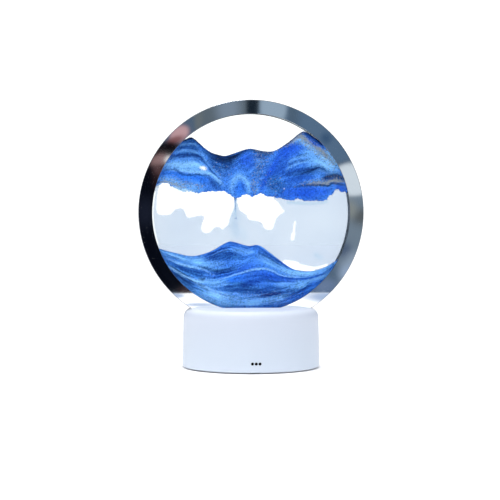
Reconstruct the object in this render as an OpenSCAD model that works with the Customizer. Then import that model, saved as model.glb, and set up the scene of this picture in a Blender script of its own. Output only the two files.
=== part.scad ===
// Sand-art hourglass lamp: a round, liquid-filled sand disc that stands in the slot of a
// rechargeable lamp base and is turned over in that slot.
// Millimetres. +Z is up, the disc's faces look along -Y (front) and +Y (back), and the origin
// is on the table, under the centre of the base.

/* [Base] */
// Diameter of the base at its foot
base_bottom_d = 110; // [110:1:114]
// Diameter of the base at its top
base_top_d = 108; // [107:0.5:110]
// Height of the base's top face above the table
base_h = 48; // [48:0.5:54]
// Side wall of the base shell
wall = 2.5; // [2:0.25:2.5]
// Radius of the rounded top edge
top_round = 8; // [5:0.5:8]
// Gap under the shell's rim, left by the rubber feet
rim_gap = 1; // [0.5:0.25:1]

/* [Sand disc] */
// Outer diameter of the disc
disc_d = 180; // [178:0.5:180]
// Diameter of the window inside the mirrored rings
window_d = 158; // [154:1:158]
// Thickness of each glass pane
glass_t = 3; // [2:0.5:3]
// Gap between the panes, which the sand and the liquid fill
cell_t = 4; // [3:0.5:4]
// Thickness of each mirrored ring in front of its pane
face_t = 2; // [1.5:0.5:2]
// How deep the disc stands in the base
sink = 14.3; // [12:0.1:14.5]

/* [Controls] */
// Distance between the indicator dots
dot_pitch = 2.9; // [2.8:0.1:3.4]
// Diameter of each indicator dot's hole
dot_d = 2.4; // [1.8:0.1:2.4]
// Diameter of the power button
button_d = 6.4; // [5:0.2:6.8]
// Travel of the power button
button_travel = 0.5; // [0.3:0.1:0.5]

/* [Hidden] */
$fn = 96;
bit = 0.01;                       // how far a cutter runs past a face

// Base shell
foot_r = base_bottom_d / 2;
top_r = base_top_d / 2;
draft = atan((foot_r - top_r) / (base_h - rim_gap));
foot_round = 1.2;
ceiling_t = 3;
ceiling = base_h - ceiling_t;
function shell_r(z) = foot_r + (top_r - foot_r) * (z - rim_gap) / (base_h - rim_gap);

// Sand disc
disc_r = disc_d / 2;
disc_t = 2 * (face_t + glass_t) + cell_t;
disc_z = base_h - sink + disc_r;
window_r = window_d / 2;
band_t = 1.8;                     // outer wall of the mirrored rings
pane_r = disc_r - band_t - 0.3;
cell_r = window_r + 1;
slot_fit = 0.3;                   // clearance all round between disc and slot
slot_r = disc_r + slot_fit;
slot_t = disc_t + 2 * slot_fit;
step_t = 0.8;                     // thickness and length of the step that joins the two rings
step_fit = 0.05;

// Cradle and LED strip
cradle_wall = 2.2;
cradle_t = slot_t + 2 * cradle_wall;
cradle_r = slot_r + cradle_wall;
tab_x = 30;
tab_y = cradle_t / 2 + 4;
tab_z = ceiling - 3;
led_board_l = 86;
led_board_w = 12;
led_board_t = 1.6;
led_board_z = 26.5;
led_post_x = 38;
led_count = 6;
led_pitch = 10;

// Bottom cover and what stands on it
cover_r = shell_r(rim_gap) - wall - 0.3;
cover_z = 1.5;
cover_t = 2.5;
floor_z = cover_z + cover_t;
post_r = 43;                      // circle of the four screw posts
foot_ring_r = 44;                 // circle of the four feet
foot_d = 10;
pad_h = 2;                        // raised pads under the screw posts
main_board_z = 9;
board_t = 1.6;
board_top = main_board_z + board_t;
board_screw_at = [[-19, 34], [19, 34], [0, 42]];
port_x = -9;
button_x = 9;
port_w = 8.94;
port_h = 3.26;
port_z = board_top + port_h / 2;
connector_at = [-12, 0, 12];
connector_face = 20.5;
dots_z = 8;
battery = [50, 34, 10];
battery_y = -21;
foam_t = 1;

// Power button, along +Y at the back
plunger_d = 3;
plunger_tip = 48.4;
flange_t = 1;
flange_y = plunger_tip + 0.4;
button_face = shell_r(port_z) * cos(asin(button_x / shell_r(port_z))) + button_travel;

// Outlines of the sand and the air bubbles, seen from the front: x to the right and y up, from
// the centre of the disc.
upper_top = [
    [-68, 57], [-54.5, 58], [-47, 60.2], [-38, 52.5], [-31.9, 48.3], [-26.4, 46.5], [-20.3, 45.5],
    [-11.1, 48.5], [-1.3, 51.3], [7.8, 49.7], [15, 49], [21, 50.7], [31, 57.3], [40.3, 64.6],
    [45.6, 64], [56, 57], [70, 50]
];
upper_bottom = [
    [-90, 18], [-75.6, 20.7], [-70.2, 23.8], [-67, 23.6], [-63.4, 21.3], [-58, 18.2], [-52.7, 17.1],
    [-46, 16.6], [-42, 15.3], [-37.4, 16.7], [-30, 17.3], [-25.8, 16.8], [-22.1, 17.9],
    [-19.6, 16.1], [-16, 13.9], [-12.5, 11.6], [-9, 12.8], [-3.9, 14.4], [-0.9, 13.8], [1, 12.4],
    [3.4, 13.9], [7.7, 15.5], [12.1, 13.4], [19, 12.5], [27.3, 10.9], [31.5, 10], [34.3, 10.2],
    [37.5, 11.7], [41, 10.2], [45, 9.6], [54.2, 9.4], [60, 10.2], [61.8, 12], [63.2, 14.4],
    [66, 14.9], [67.6, 17.6], [70, 19.1], [72.2, 17.4], [77.4, 16.2], [90, 13]
];
lower_top = [
    [-90, -22], [-72.9, -28.6], [-58.8, -32.3], [-46.6, -34.5], [-33.1, -31.1], [-21.5, -24.6],
    [-15.4, -22.9], [-5.2, -25.8], [-0.5, -26.5], [5.8, -25.8], [13.1, -30.1], [25.7, -39.9], [35.7, -45.8],
    [48.2, -46.9], [58.8, -44.2], [68.8, -38.5], [90, -26]
];
left_bubble = [
    [-71, 30], [-73.1, 21], [-74.7, 12], [-75, 6], [-74.9, 1.4], [-73.4, -0.7], [-69.5, -1.2],
    [-65, -0.8], [-62.6, 1.3], [-60.8, 3.1], [-57.8, 4.1], [-54.9, 4], [-53.2, 2.6],
    [-51.9, -0.2], [-51.3, -2.1], [-50.1, -3.1], [-46.8, -2.8], [-43, -1.9], [-39.4, -1.5],
    [-37.2, -2.9], [-37.5, -5.6], [-38.8, -9.1], [-39.2, -12.5], [-38.3, -14.9], [-36, -15.6],
    [-32.9, -14.8], [-30.1, -11.7], [-27.1, -10.6], [-24.7, -11.2], [-23, -12.6], [-21.7, -11.6],
    [-18.6, -8.7], [-17.5, -4.1], [-16.2, -0.5], [-14.6, 2.8], [-14, 7], [-13.8, 12], [-16, 26]
];
right_bubble = [
    [-8, 26], [-10.8, 11.2], [-9.8, 6.3], [-9, 3.3], [-7.3, 1.5], [-3.4, -1.3], [-2.5, -3],
    [-1.4, -4.9], [1.9, -5.6], [6.3, -6.4], [9.1, -7.7], [10.3, -10.3], [11.6, -12.2],
    [14.3, -13.1], [16.8, -12.6], [17.9, -10.4], [18.8, -7.1], [20.2, -3.8], [22.7, -1.3],
    [25.7, 0.8], [26.2, 1.7], [24.7, 3.2], [23.1, 5.6], [21.7, 8], [19.4, 9.8], [18, 12], [17, 26]
];
stream_x = -12.6;
// Each length of the falling stream: [height at its foot, radius there], from the top down
stream = [[13, 1.1], [6, 0.5], [-4, 0.35], [-26, 0.6]];

// Wires, as points that a smooth curve passes through
battery_wire = [
    [-13, -4, 10], [-13, -1, 10], [-13, 5, 12], [-13, 11, 14], [-13, 16.5, 13.2],
    [-13, connector_face - 1, 13], [-13, connector_face, 13]
];
led_wire = [
    [-1, 2, led_board_z], [-1, 2, 25], [-1.6, 3.5, 21.5], [-3, 8, 18], [-2.4, 13, 15],
    [-1, 17, 13.2], [-1, connector_face - 1.5, 13], [-1, connector_face, 13]
];
indicator_wire = [
    [4, -47.9, 12], [4, -46, 12], [5, -41.5, 15], [7, -34, 17], [9, -18, 17.4], [11, -2, 17],
    [11, 9, 16], [11, 15.5, 13.6], [11, connector_face - 1.5, 13], [11, connector_face, 13]
];
wire_d = 1.2;
wire_gap = 2;

// A point of a smooth curve through p1 and p2
function curve_point(p0, p1, p2, p3, t) =
    0.5 * (2 * p1 + (p2 - p0) * t + (2 * p0 - 5 * p1 + 4 * p2 - p3) * t * t
    + (3 * p1 - p0 - 3 * p2 + p3) * t * t * t);

// A smooth open curve through all the points, with n steps between neighbours
function smooth(p, n) = concat(
    [for (i = [0 : len(p) - 2], k = [0 : n - 1])
        curve_point(p[max(i - 1, 0)], p[i], p[i + 1], p[min(i + 2, len(p) - 1)], k / n)],
    [p[len(p) - 1]]);

function smooth_loop(p, n) = [
    for (i = [0 : len(p) - 1], k = [0 : n - 1])
        curve_point(p[(i + len(p) - 1) % len(p)], p[i], p[(i + 1) % len(p)],
            p[(i + 2) % len(p)], k / n)
];

function reversed(p) = [for (i = [len(p) - 1 : -1 : 0]) p[i]];
function unit(v) = v / norm(v);

// A round tube along a smooth curve. ref is a direction that the curve never runs along.
module tube(points, d, ref) {
    sides = 8;
    path = smooth(points, 3);
    last = len(path) - 1;
    rings = [for (i = [0 : last])
        let (t = unit(path[min(i + 1, last)] - path[max(i - 1, 0)]),
            u = unit(cross(ref, t)), v = cross(t, u))
        for (k = [0 : sides - 1])
            path[i] + d / 2 * (cos(360 * k / sides) * u + sin(360 * k / sides) * v)];
    walls = [for (i = [0 : last - 1], k = [0 : sides - 1])
        let (a = i * sides + k, b = i * sides + (k + 1) % sides)
        [a, a + sides, b + sides, b]];
    ends = [[for (k = [0 : sides - 1]) k], [for (k = [sides - 1 : -1 : 0]) last * sides + k]];
    polyhedron(points = rings, faces = concat(walls, ends), convexity = 4);
}

module ring(outer, inner, t) {
    difference() {
        cylinder(r = outer, h = t);
        translate([0, 0, -bit]) cylinder(r = inner, h = t + 2 * bit);
    }
}

// A pan-head screw that points up: its head's underside is at z = 0
module screw(d, length, head_d, head_h) {
    cross_w = 0.22 * head_d;
    cylinder(d = d, h = length);
    difference() {
        translate([0, 0, -head_h]) cylinder(d = head_d, h = head_h);
        for (turn = [0, 90])
            rotate(turn) translate([-0.32 * head_d, -cross_w / 2, -head_h - bit])
                cube([0.64 * head_d, cross_w, 0.55 * head_h]);
    }
}

module at_posts() {
    for (turn = [45 : 90 : 315]) rotate(turn) translate([post_r, 0, 0]) children();
}

module at_feet() {
    for (turn = [0 : 90 : 270]) rotate(turn) translate([foot_ring_r, 0, 0]) children();
}

module at_tabs() {
    for (x = [-tab_x, tab_x], y = [-tab_y, tab_y]) translate([x, y, 0]) children();
}

// Disc parts are drawn flat, with their front up, and stand up here
module stand_disc() {
    translate([0, 0, disc_z]) rotate([90, 0, 0]) children();
}

// A horizontal cylinder along +Y from y0 to y1
module rod_y(x, z, d, y0, y1) {
    translate([x, y0, z]) rotate([-90, 0, 0]) cylinder(d = d, h = y1 - y0);
}

module slab(x, y, z, size) {
    translate([x - size[0] / 2, y - size[1] / 2, z]) cube(size);
}

// The space that the disc takes in the base, with its clearance
module slot_space() {
    stand_disc() translate([0, 0, -slot_t / 2]) cylinder(r = slot_r, h = slot_t, $fn = 200);
}

// Side view of the base, filled in: straight drafted side with a round at each end
module shell_profile() {
    top_c = [shell_r(base_h - top_round) - top_round / cos(draft), base_h - top_round];
    foot_c = [shell_r(rim_gap + foot_round) - foot_round / cos(draft), rim_gap + foot_round];
    out = [cos(draft), sin(draft)];
    polygon([
        [0, rim_gap], [foot_c[0], rim_gap], foot_c, foot_c + foot_round * out,
        top_c + top_round * out, top_c, [top_c[0], base_h], [0, base_h]
    ]);
    translate(top_c) circle(r = top_round);
    translate(foot_c) circle(r = foot_round);
}

// Side view of the space inside the shell, drawn in by a gap at its side
module cavity_profile(gap) {
    inner = top_round - wall;
    out = [cos(draft), sin(draft)];
    c = [shell_r(ceiling - inner) - wall - gap - inner / cos(draft), ceiling - inner];
    polygon([
        [0, rim_gap - bit], [shell_r(rim_gap - bit) - wall - gap, rim_gap - bit],
        c + inner * out, c, [c[0], ceiling], [0, ceiling]
    ]);
    translate(c) circle(r = inner);
}

module base_shell() {
    color("white") difference() {
        union() {
            difference() {
                rotate_extrude($fn = 180) shell_profile();
                rotate_extrude($fn = 180) cavity_profile(0);
            }
            at_posts() translate([0, 0, floor_z + pad_h])
                cylinder(d = 8, h = ceiling - floor_z - pad_h + bit);
            at_tabs() translate([0, 0, tab_z + 2]) cylinder(d = 7, h = 1 + bit);
        }
        slot_space();
        at_posts() translate([0, 0, floor_z + pad_h - bit]) cylinder(d = 3, h = 9);
        at_tabs() translate([0, 0, tab_z + 2 - bit]) cylinder(d = 2.1, h = 3);
        // Indicator holes at the front, port and button holes at the back
        for (i = [-1 : 1]) rod_y(i * dot_pitch, dots_z, dot_d, -foot_r - 1, -foot_r + 2 * wall);
        port_hole();
        rod_y(button_x, port_z, button_d + 0.4, foot_r - 2 * wall, foot_r + 1);
    }
}

// An upright slot with round ends, a little bigger than the port
module port_hole() {
    play = 0.35;
    r = port_h / 2 + play;
    half = port_w / 2 + play - r;
    for (side = [-half, half])
        rod_y(port_x + side, port_z, 2 * r, foot_r - 2.5 * wall, foot_r + 1);
    translate([port_x - half, foot_r - 2.5 * wall, port_z - r]) cube([2 * half, 2.5 * wall + 1, 2 * r]);
}

// Milky trough that holds the disc and spreads the light of the LEDs below it
module disc_cradle() {
    color("ghostwhite") difference() {
        union() {
            intersection() {
                slab(0, 0, led_board_z, [2 * cradle_r, cradle_t, ceiling - led_board_z]);
                stand_disc() translate([0, 0, -cradle_t / 2])
                    cylinder(r = cradle_r, h = cradle_t, $fn = 200);
                rotate_extrude($fn = 180) cavity_profile(0.3);
            }
            for (side = [-1, 1])
                translate([side * led_post_x, 0, led_board_z + led_board_t])
                    cylinder(d = 6, h = 14);
            for (x = [-tab_x, tab_x])
                translate([x - 4, -tab_y - 4, tab_z]) cube([8, 2 * tab_y + 8, 2]);
        }
        slot_space();
        for (side = [-1, 1])
            translate([side * led_post_x, 0, led_board_z + led_board_t - bit])
                cylinder(d = 2.1, h = 6);
        at_tabs() translate([0, 0, tab_z - bit]) cylinder(d = 2.4, h = 2 + 2 * bit);
    }
}

module cradle_screws() {
    color("silver") at_tabs() translate([0, 0, tab_z]) screw(2, 4.4, 3.8, 1.4);
}

module led_board() {
    color("whitesmoke") difference() {
        slab(0, 0, led_board_z, [led_board_l, led_board_w, led_board_t]);
        for (side = [-1, 1])
            translate([side * led_post_x, 0, led_board_z - bit])
                cylinder(d = 2.4, h = led_board_t + 2 * bit);
    }
}

// LED packages: a white body with a round phosphor well
module led_chips() {
    color("khaki") for (i = [0 : led_count - 1])
        translate([(i - (led_count - 1) / 2) * led_pitch, 0, led_board_z + led_board_t])
            difference() {
                slab(0, 0, 0, [5, 5, 1.5]);
                translate([0, 0, 1.2]) cylinder(d = 4, h = 1);
            }
}

module led_board_screws() {
    color("silver") for (side = [-1, 1])
        translate([side * led_post_x, 0, led_board_z]) screw(2, 6, 3.8, 1.4);
}

module bottom_cover() {
    stop_h = 4;
    color("white") difference() {
        union() {
            translate([0, 0, cover_z]) cylinder(r = cover_r, h = cover_t, $fn = 180);
            at_posts() translate([0, 0, floor_z - bit]) cylinder(d = 11, h = pad_h + bit);
            for (p = board_screw_at)
                translate([p[0], p[1], floor_z - bit])
                    cylinder(d = 5, h = main_board_z - floor_z + bit);
            // Stops round the battery
            for (side = [-1, 1]) {
                slab(side * (battery[0] / 2 + 1.2), battery_y + 3, floor_z - bit, [1.6, 10, stop_h]);
                slab(side * 15, battery_y + battery[1] / 2 + 1.2, floor_z - bit, [8, 1.6, stop_h]);
                slab(side * 15, battery_y - battery[1] / 2 - 1.2, floor_z - bit, [8, 1.6, stop_h]);
                // Channels that hold the upright indicator board by its edges
                slab(side * 9.5, -48.4, floor_z - bit, [2.6, 4, 7]);
            }
        }
        at_posts() {
            translate([0, 0, cover_z - bit]) cylinder(d = 3.4, h = 8);
            translate([0, 0, cover_z - bit]) cylinder(d = 6.6, h = 2.3 + bit);
        }
        at_feet() translate([0, 0, cover_z - bit]) cylinder(d = foot_d + 0.2, h = 1 + bit);
        for (p = board_screw_at)
            translate([p[0], p[1], floor_z]) cylinder(d = 2.1, h = 8);
        slab(0, -48.4, floor_z, [18.3, 1.2, 9]);
    }
}

module cover_screws() {
    color("dimgray") at_posts() translate([0, 0, cover_z + 2.3]) screw(2.9, 10, 6, 1.9);
}

module rubber_feet() {
    color("dimgray") at_feet() {
        translate([0, 0, 0.4]) cylinder(d = foot_d, h = cover_z + 0.6);
        cylinder(d1 = foot_d - 0.8, d2 = foot_d, h = 0.4);
    }
}

module main_board() {
    color("darkgreen") difference() {
        union() {
            slab(0, 32, main_board_z, [44, 24, board_t]);
            slab(0, 45.5, main_board_z, [32, 5, board_t]);
        }
        for (p = board_screw_at)
            translate([p[0], p[1], main_board_z - bit]) cylinder(d = 2.4, h = board_t + 2 * bit);
    }
}

// Charger chip, LED driver, inductor, two capacitors and a row of small parts
module board_components() {
    color("black") {
        slab(0, 33, board_top, [5, 4, 1]);
        slab(13, 30, board_top, [4, 4, 0.9]);
        translate([-11, 33, board_top]) cylinder(d = 5.6, h = 3);
    }
    color("gray") {
        translate([6, 31.5, board_top]) cylinder(d = 4, h = 5.4);
        translate([8, 37, board_top]) cylinder(d = 4, h = 5.4);
        for (i = [0 : 5]) slab(-6 + 2.6 * i, 25.8 + 1.6 * (i % 2), board_top, [1.6, 0.8, 0.6]);
    }
}

module main_board_screws() {
    color("silver") for (p = board_screw_at)
        translate([p[0], p[1], board_top]) rotate([180, 0, 0]) screw(2, 5.5, 3.8, 1.4);
}

module wire_connectors() {
    color("ivory") for (x = connector_at)
        difference() {
            slab(x, connector_face + 2.2, board_top, [6, 4.4, 4.8]);
            slab(x, connector_face + 3.4, board_top + 1, [4.6, 2.6, 4]);
        }
}

// A flat tube with round ends, along +Y from y0
module flat_tube(w, h, y0, length) {
    for (side = [-1, 1])
        translate([side * (w - h) / 2, y0, 0]) rotate([-90, 0, 0])
            cylinder(d = h, h = length);
    translate([-(w - h) / 2, y0, -h / 2]) cube([w - h, length, h]);
}

port_mouth = shell_r(port_z) * cos(asin(-port_x / shell_r(port_z))) - 0.8;
port_l = 7.3;

module usb_socket() {
    color("silver") translate([port_x, 0, port_z]) difference() {
        flat_tube(port_w, port_h, port_mouth - port_l, port_l);
        flat_tube(port_w - 0.6, port_h - 0.6, port_mouth - port_l + 1, port_l);
    }
}

module usb_tongue() {
    color("black") translate([port_x - 3.35, port_mouth - port_l + 1, port_z - 0.35])
        cube([6.7, port_l - 1.8, 0.7]);
}

module tact_switch() {
    back = 42.5;
    color("black") difference() {
        slab(button_x, back + 2, board_top, [6, 4, 3.9]);
        rod_y(button_x, port_z, plunger_d + 0.2, back + 1.9, back + 5);
    }
}

module switch_plunger() {
    color("orangered") rod_y(button_x, port_z, plunger_d, 45, plunger_tip);
}

module power_button() {
    round_r = 0.6;
    color("white") union() {
        rod_y(button_x, port_z, plunger_d, plunger_tip, flange_y);
        rod_y(button_x, port_z, button_d + 2, flange_y, flange_y + flange_t);
        translate([button_x, flange_y + flange_t, port_z]) rotate([-90, 0, 0]) rotate_extrude() {
            length = button_face - flange_y - flange_t;
            square([button_d / 2 - round_r, length]);
            square([button_d / 2, length - round_r]);
            translate([button_d / 2 - round_r, length - round_r]) circle(r = round_r);
        }
    }
}

module indicator_light_pipe() {
    bar_y = -shell_r(dots_z) + wall + 0.4;
    color("black") {
        slab(0, bar_y + 0.75, dots_z - 1.8, [10, 1.5, 3.6]);
        for (i = [-1 : 1])
            rod_y(i * dot_pitch, dots_z, dot_d - 0.1, -shell_r(dots_z) + 0.35, bar_y + 0.5);
    }
}

module indicator_board() {
    color("darkgreen") slab(0, -48.4, floor_z, [18, 1, 11]);
}

module indicator_leds() {
    color("khaki") for (i = [-1 : 1])
        slab(i * dot_pitch, -49.3, dots_z - 0.8, [1, 0.8, 1.6]);
}

// Flat pouch cell with folded side seams and a taped board across its rear end
module battery_cell() {
    side_r = 3;
    color("silver") translate([0, battery_y, floor_z + foam_t]) {
        for (side = [-1, 1])
            translate([side * (battery[0] / 2 - side_r), -battery[1] / 2, battery[2] / 2])
                rotate([-90, 0, 0]) {
                    translate([0, -battery[2] / 2 + side_r, 0]) cylinder(r = side_r, h = battery[1] - 4);
                    translate([0, battery[2] / 2 - side_r, 0]) cylinder(r = side_r, h = battery[1] - 4);
                }
        slab(0, -2, 0, [battery[0] - 2 * side_r, battery[1] - 4, battery[2]]);
        slab(0, -2, side_r, [battery[0], battery[1] - 4, battery[2] - 2 * side_r]);
        slab(0, battery[1] / 2 - 2, 2.5, [battery[0] - 8, 4, 5]);
    }
}

module battery_foam_pad() {
    color("gray") slab(0, battery_y - 2, floor_z, [36, 24, foam_t]);
}

// Two wires side by side along one curve that never runs along X
module wire_pair(points) {
    color("red") tube(points, wire_d, [1, 0, 0]);
    color("black") translate([wire_gap, 0, 0]) tube(points, wire_d, [1, 0, 0]);
}

module battery_wires() {
    wire_pair(battery_wire);
}

module led_wires() {
    wire_pair(led_wire);
}

module indicator_wires() {
    wire_pair(indicator_wire);
}

// Hole for the filling plug, through the rim at the top of the disc
module fill_hole() {
    rotate([-90, 0, 0]) {
        translate([0, 0, cell_r - 1]) cylinder(d = 3.2, h = 20);
        translate([0, 0, disc_r - 2.4]) cylinder(d = 5.8, h = 4);
    }
}

// Side view of one mirrored ring: a flat face with bevelled edges, and an outer wall
module bezel_profile(step_out) {
    bevel = 0.4;
    inner_bevel = 0.15;
    half = disc_t / 2;
    face = half - face_t;
    wall_in = disc_r - band_t;
    difference() {
        union() {
            polygon([
                [window_r, face], [wall_in, face], [wall_in, 0], [disc_r, 0],
                [disc_r, half - bevel], [disc_r - bevel, half], [window_r + inner_bevel, half],
                [window_r, half - inner_bevel]
            ]);
            if (step_out)
                translate([wall_in, -step_t]) square([step_t, step_t + bit]);
        }
        if (!step_out)
            translate([wall_in - bit, -bit])
                square([step_t + step_fit + bit, step_t + step_fit + bit]);
    }
}

module front_bezel() {
    color("silver") stand_disc() difference() {
        rotate_extrude($fn = 240) bezel_profile(true);
        fill_hole();
    }
}

module rear_bezel() {
    color("silver") stand_disc() difference() {
        rotate([180, 0, 0]) rotate_extrude($fn = 240) bezel_profile(false);
        fill_hole();
    }
}

// A pane whose rim has a small bevel on each side
module pane() {
    bevel = 0.4;
    rotate_extrude($fn = 240) polygon([
        [0, 0], [pane_r - bevel, 0], [pane_r, bevel], [pane_r, glass_t - bevel],
        [pane_r - bevel, glass_t], [0, glass_t]
    ]);
}

module front_glass() {
    color([0.85, 0.93, 0.97, 0.35]) stand_disc() translate([0, 0, cell_t / 2]) pane();
}

module rear_glass() {
    color([0.85, 0.93, 0.97, 0.35]) stand_disc() translate([0, 0, -cell_t / 2 - glass_t]) pane();
}

module seal_ring() {
    color("whitesmoke") stand_disc() difference() {
        translate([0, 0, -cell_t / 2]) ring(pane_r, cell_r, cell_t);
        fill_hole();
    }
}

module fill_plug() {
    color("dimgray") stand_disc() rotate([-90, 0, 0]) {
        translate([0, 0, cell_r + 0.4]) cylinder(d = 3, h = disc_r - cell_r - 2.3);
        translate([0, 0, disc_r - 2]) cylinder(d = 5.2, h = 1.6);
    }
}

module cell_outline() {
    circle(r = cell_r, $fn = 240);
}

// Everything above the upper sand is air
module above_sand_outline() {
    polygon(concat(smooth(upper_top, 3), [[95, 50], [95, 95], [-95, 95], [-95, 57]]));
}

module upper_sand_outline() {
    intersection() {
        cell_outline();
        polygon(concat(smooth(upper_top, 3), [[95, 50]], reversed(smooth(upper_bottom, 3)),
            [[-95, 57]]));
    }
}

module lower_sand_outline() {
    intersection() {
        cell_outline();
        polygon(concat(smooth(lower_top, 3), [[95, -95], [-95, -95]]));
    }
}

module falling_sand_body() {
    for (i = [0 : len(stream) - 2])
        translate([stream_x, stream[i + 1][0], 0]) rotate([-90, 0, 0])
            cylinder(r1 = stream[i + 1][1], r2 = stream[i][1], h = stream[i][0] - stream[i + 1][0],
                $fn = 32);
}

module fill_cell() {
    translate([0, 0, -cell_t / 2]) linear_extrude(cell_t) children();
}

module liquid() {
    color([0.75, 0.86, 0.95, 0.3]) stand_disc() difference() {
        fill_cell() difference() {
            cell_outline();
            above_sand_outline();
            upper_sand_outline();
            lower_sand_outline();
            polygon(smooth_loop(left_bubble, 3));
            polygon(smooth_loop(right_bubble, 3));
        }
        falling_sand_body();
    }
}

module upper_sand() {
    color("royalblue") stand_disc() fill_cell() upper_sand_outline();
}

module lower_sand() {
    color("dodgerblue") stand_disc() fill_cell() lower_sand_outline();
}

module falling_sand() {
    color("cornflowerblue") stand_disc() difference() {
        falling_sand_body();
        fill_cell() upper_sand_outline();
        fill_cell() lower_sand_outline();
    }
}

base_shell();
disc_cradle();
cradle_screws();
led_board();
led_chips();
led_board_screws();
bottom_cover();
cover_screws();
rubber_feet();
main_board();
board_components();
main_board_screws();
wire_connectors();
usb_socket();
usb_tongue();
tact_switch();
switch_plunger();
power_button();
indicator_light_pipe();
indicator_board();
indicator_leds();
battery_cell();
battery_foam_pad();
battery_wires();
led_wires();
indicator_wires();
front_bezel();
rear_bezel();
front_glass();
rear_glass();
seal_ring();
fill_plug();
liquid();
upper_sand();
lower_sand();
falling_sand();
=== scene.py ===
"""The looks of a round sand-art hourglass lamp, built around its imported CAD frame.

Metres, +Z up, the disc's front looks along -Y. The sand is painted and shaped in millimetres
across the disc, from its centre: x to the right and z up, as seen from the front.
"""

import math

import bmesh
import bpy
import numpy as np
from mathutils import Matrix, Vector


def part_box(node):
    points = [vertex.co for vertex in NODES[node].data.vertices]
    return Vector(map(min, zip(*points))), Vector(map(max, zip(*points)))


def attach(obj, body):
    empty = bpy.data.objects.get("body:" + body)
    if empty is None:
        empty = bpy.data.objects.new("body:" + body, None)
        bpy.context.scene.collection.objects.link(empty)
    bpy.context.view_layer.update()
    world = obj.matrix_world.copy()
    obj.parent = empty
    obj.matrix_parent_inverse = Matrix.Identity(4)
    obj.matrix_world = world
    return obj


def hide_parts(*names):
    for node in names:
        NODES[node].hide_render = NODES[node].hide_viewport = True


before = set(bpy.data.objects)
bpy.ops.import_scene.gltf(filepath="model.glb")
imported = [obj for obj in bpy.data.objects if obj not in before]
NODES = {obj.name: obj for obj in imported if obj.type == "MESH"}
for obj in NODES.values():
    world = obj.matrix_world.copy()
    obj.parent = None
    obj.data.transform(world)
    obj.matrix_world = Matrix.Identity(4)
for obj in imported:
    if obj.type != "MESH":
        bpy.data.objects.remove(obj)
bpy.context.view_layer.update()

MM = 0.001
RING_LOW, RING_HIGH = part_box("front_bezel")
LIQUID_LOW, LIQUID_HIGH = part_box("liquid")
BASE_LOW, BASE_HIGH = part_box("base_shell")
DISC = Vector(((RING_LOW.x + RING_HIGH.x) / 2, 0, (RING_LOW.z + RING_HIGH.z) / 2))
CELL_R = (LIQUID_HIGH.x - LIQUID_LOW.x) / 2 / MM
CELL_HALF = (LIQUID_HIGH.y - LIQUID_LOW.y) / 2 / MM
SAND_STEP = 0.4

# Camera: where it stands from the disc's centre, and where it looks
CAMERA_DISTANCE = 1.30
CAMERA_YAW = math.radians(-4.3)
CAMERA_RISE = 0.0163
CAMERA_LENS = 116.9
CAMERA_PITCH = math.radians(-2.03)
CAMERA_TURN = math.radians(0.035)

# Studio: the strength of the surroundings' light, of the white behind the lamp and of the
# table's own glow, and how far the table reaches, in metres
WORLD_LIGHT = 0.66
BACKDROP = 1.25
TABLE_GLOW = 0.615
TABLE_REACH = 3
TABLE_FRONT = 0.97

# Lights: place and size in metres, and power in watts. The beam also has an angle, the share of
# it that is soft, and the place on the base's top that it points at
KEY_PLACE, KEY_SIZE, KEY_POWER = (-0.9, -1.3, 1.3), 0.9, 7
FILL_PLACE, FILL_SIZE, FILL_POWER = (1.3, -0.8, 0.9), 1.0, 2.2
BEAM_PLACE, BEAM_SIZE, BEAM_POWER = (-0.13, -0.1, 0.9), 0.08, 28
BEAM_ANGLE = math.radians(8.8)
BEAM_BLEND = 0.9
BEAM_TARGET = (-0.025, -0.02)

# Sand: grains and clumps of grains per metre, and the ground's colour and share of dark grains
GRAIN_SCALE = 3400.0
CLUMP_SCALE = 1350.0
CLUMP_WANDER_SCALE = 1800.0
CLUMP_WANDER = 0.0005
GROUND_COLOUR = "blue"
GROUND_DARK = 0.34

# Sand sheets, in mm: half their thickness at the rim, what their middle has more, how wide the
# round rim is, the grains' relief, and the gaps to the cell's wall and to the panes
SAND_RIM = 0.5
SAND_SWELL = CELL_HALF - 0.6
SAND_ROUND = 1.2
SAND_RELIEF = 0.04
SAND_WALL_GAP = 0.1
SAND_PANE_GAP = 0.03

# Liquid: its grid's step, how far it reaches under the sand's edges, and the same sizes, in mm
LIQUID_STEP = 0.8
UNDER_SAND = 2.4
LIQUID_RIM = 0.35
LIQUID_SWELL = CELL_HALF - 0.55
LIQUID_WALL_GAP = 0.15
LIQUID_PANE_GAP = 0.12

# The far wall of the mirrored room: its middle and where it starts to fade, in degrees
FAR_WALL = (4.5, 0.0, 0.0)
FAR_WALL_EDGE = (9.0, 5.0)


# ---------------------------------------------------------------- colours and node helpers

def srgb(code):
    """A linear colour from a six-digit hex code."""
    parts = [int(code[i:i + 2], 16) / 255 for i in (0, 2, 4)]
    return tuple(v / 12.92 if v <= 0.04045 else ((v + 0.055) / 1.055) ** 2.4 for v in parts)


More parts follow.
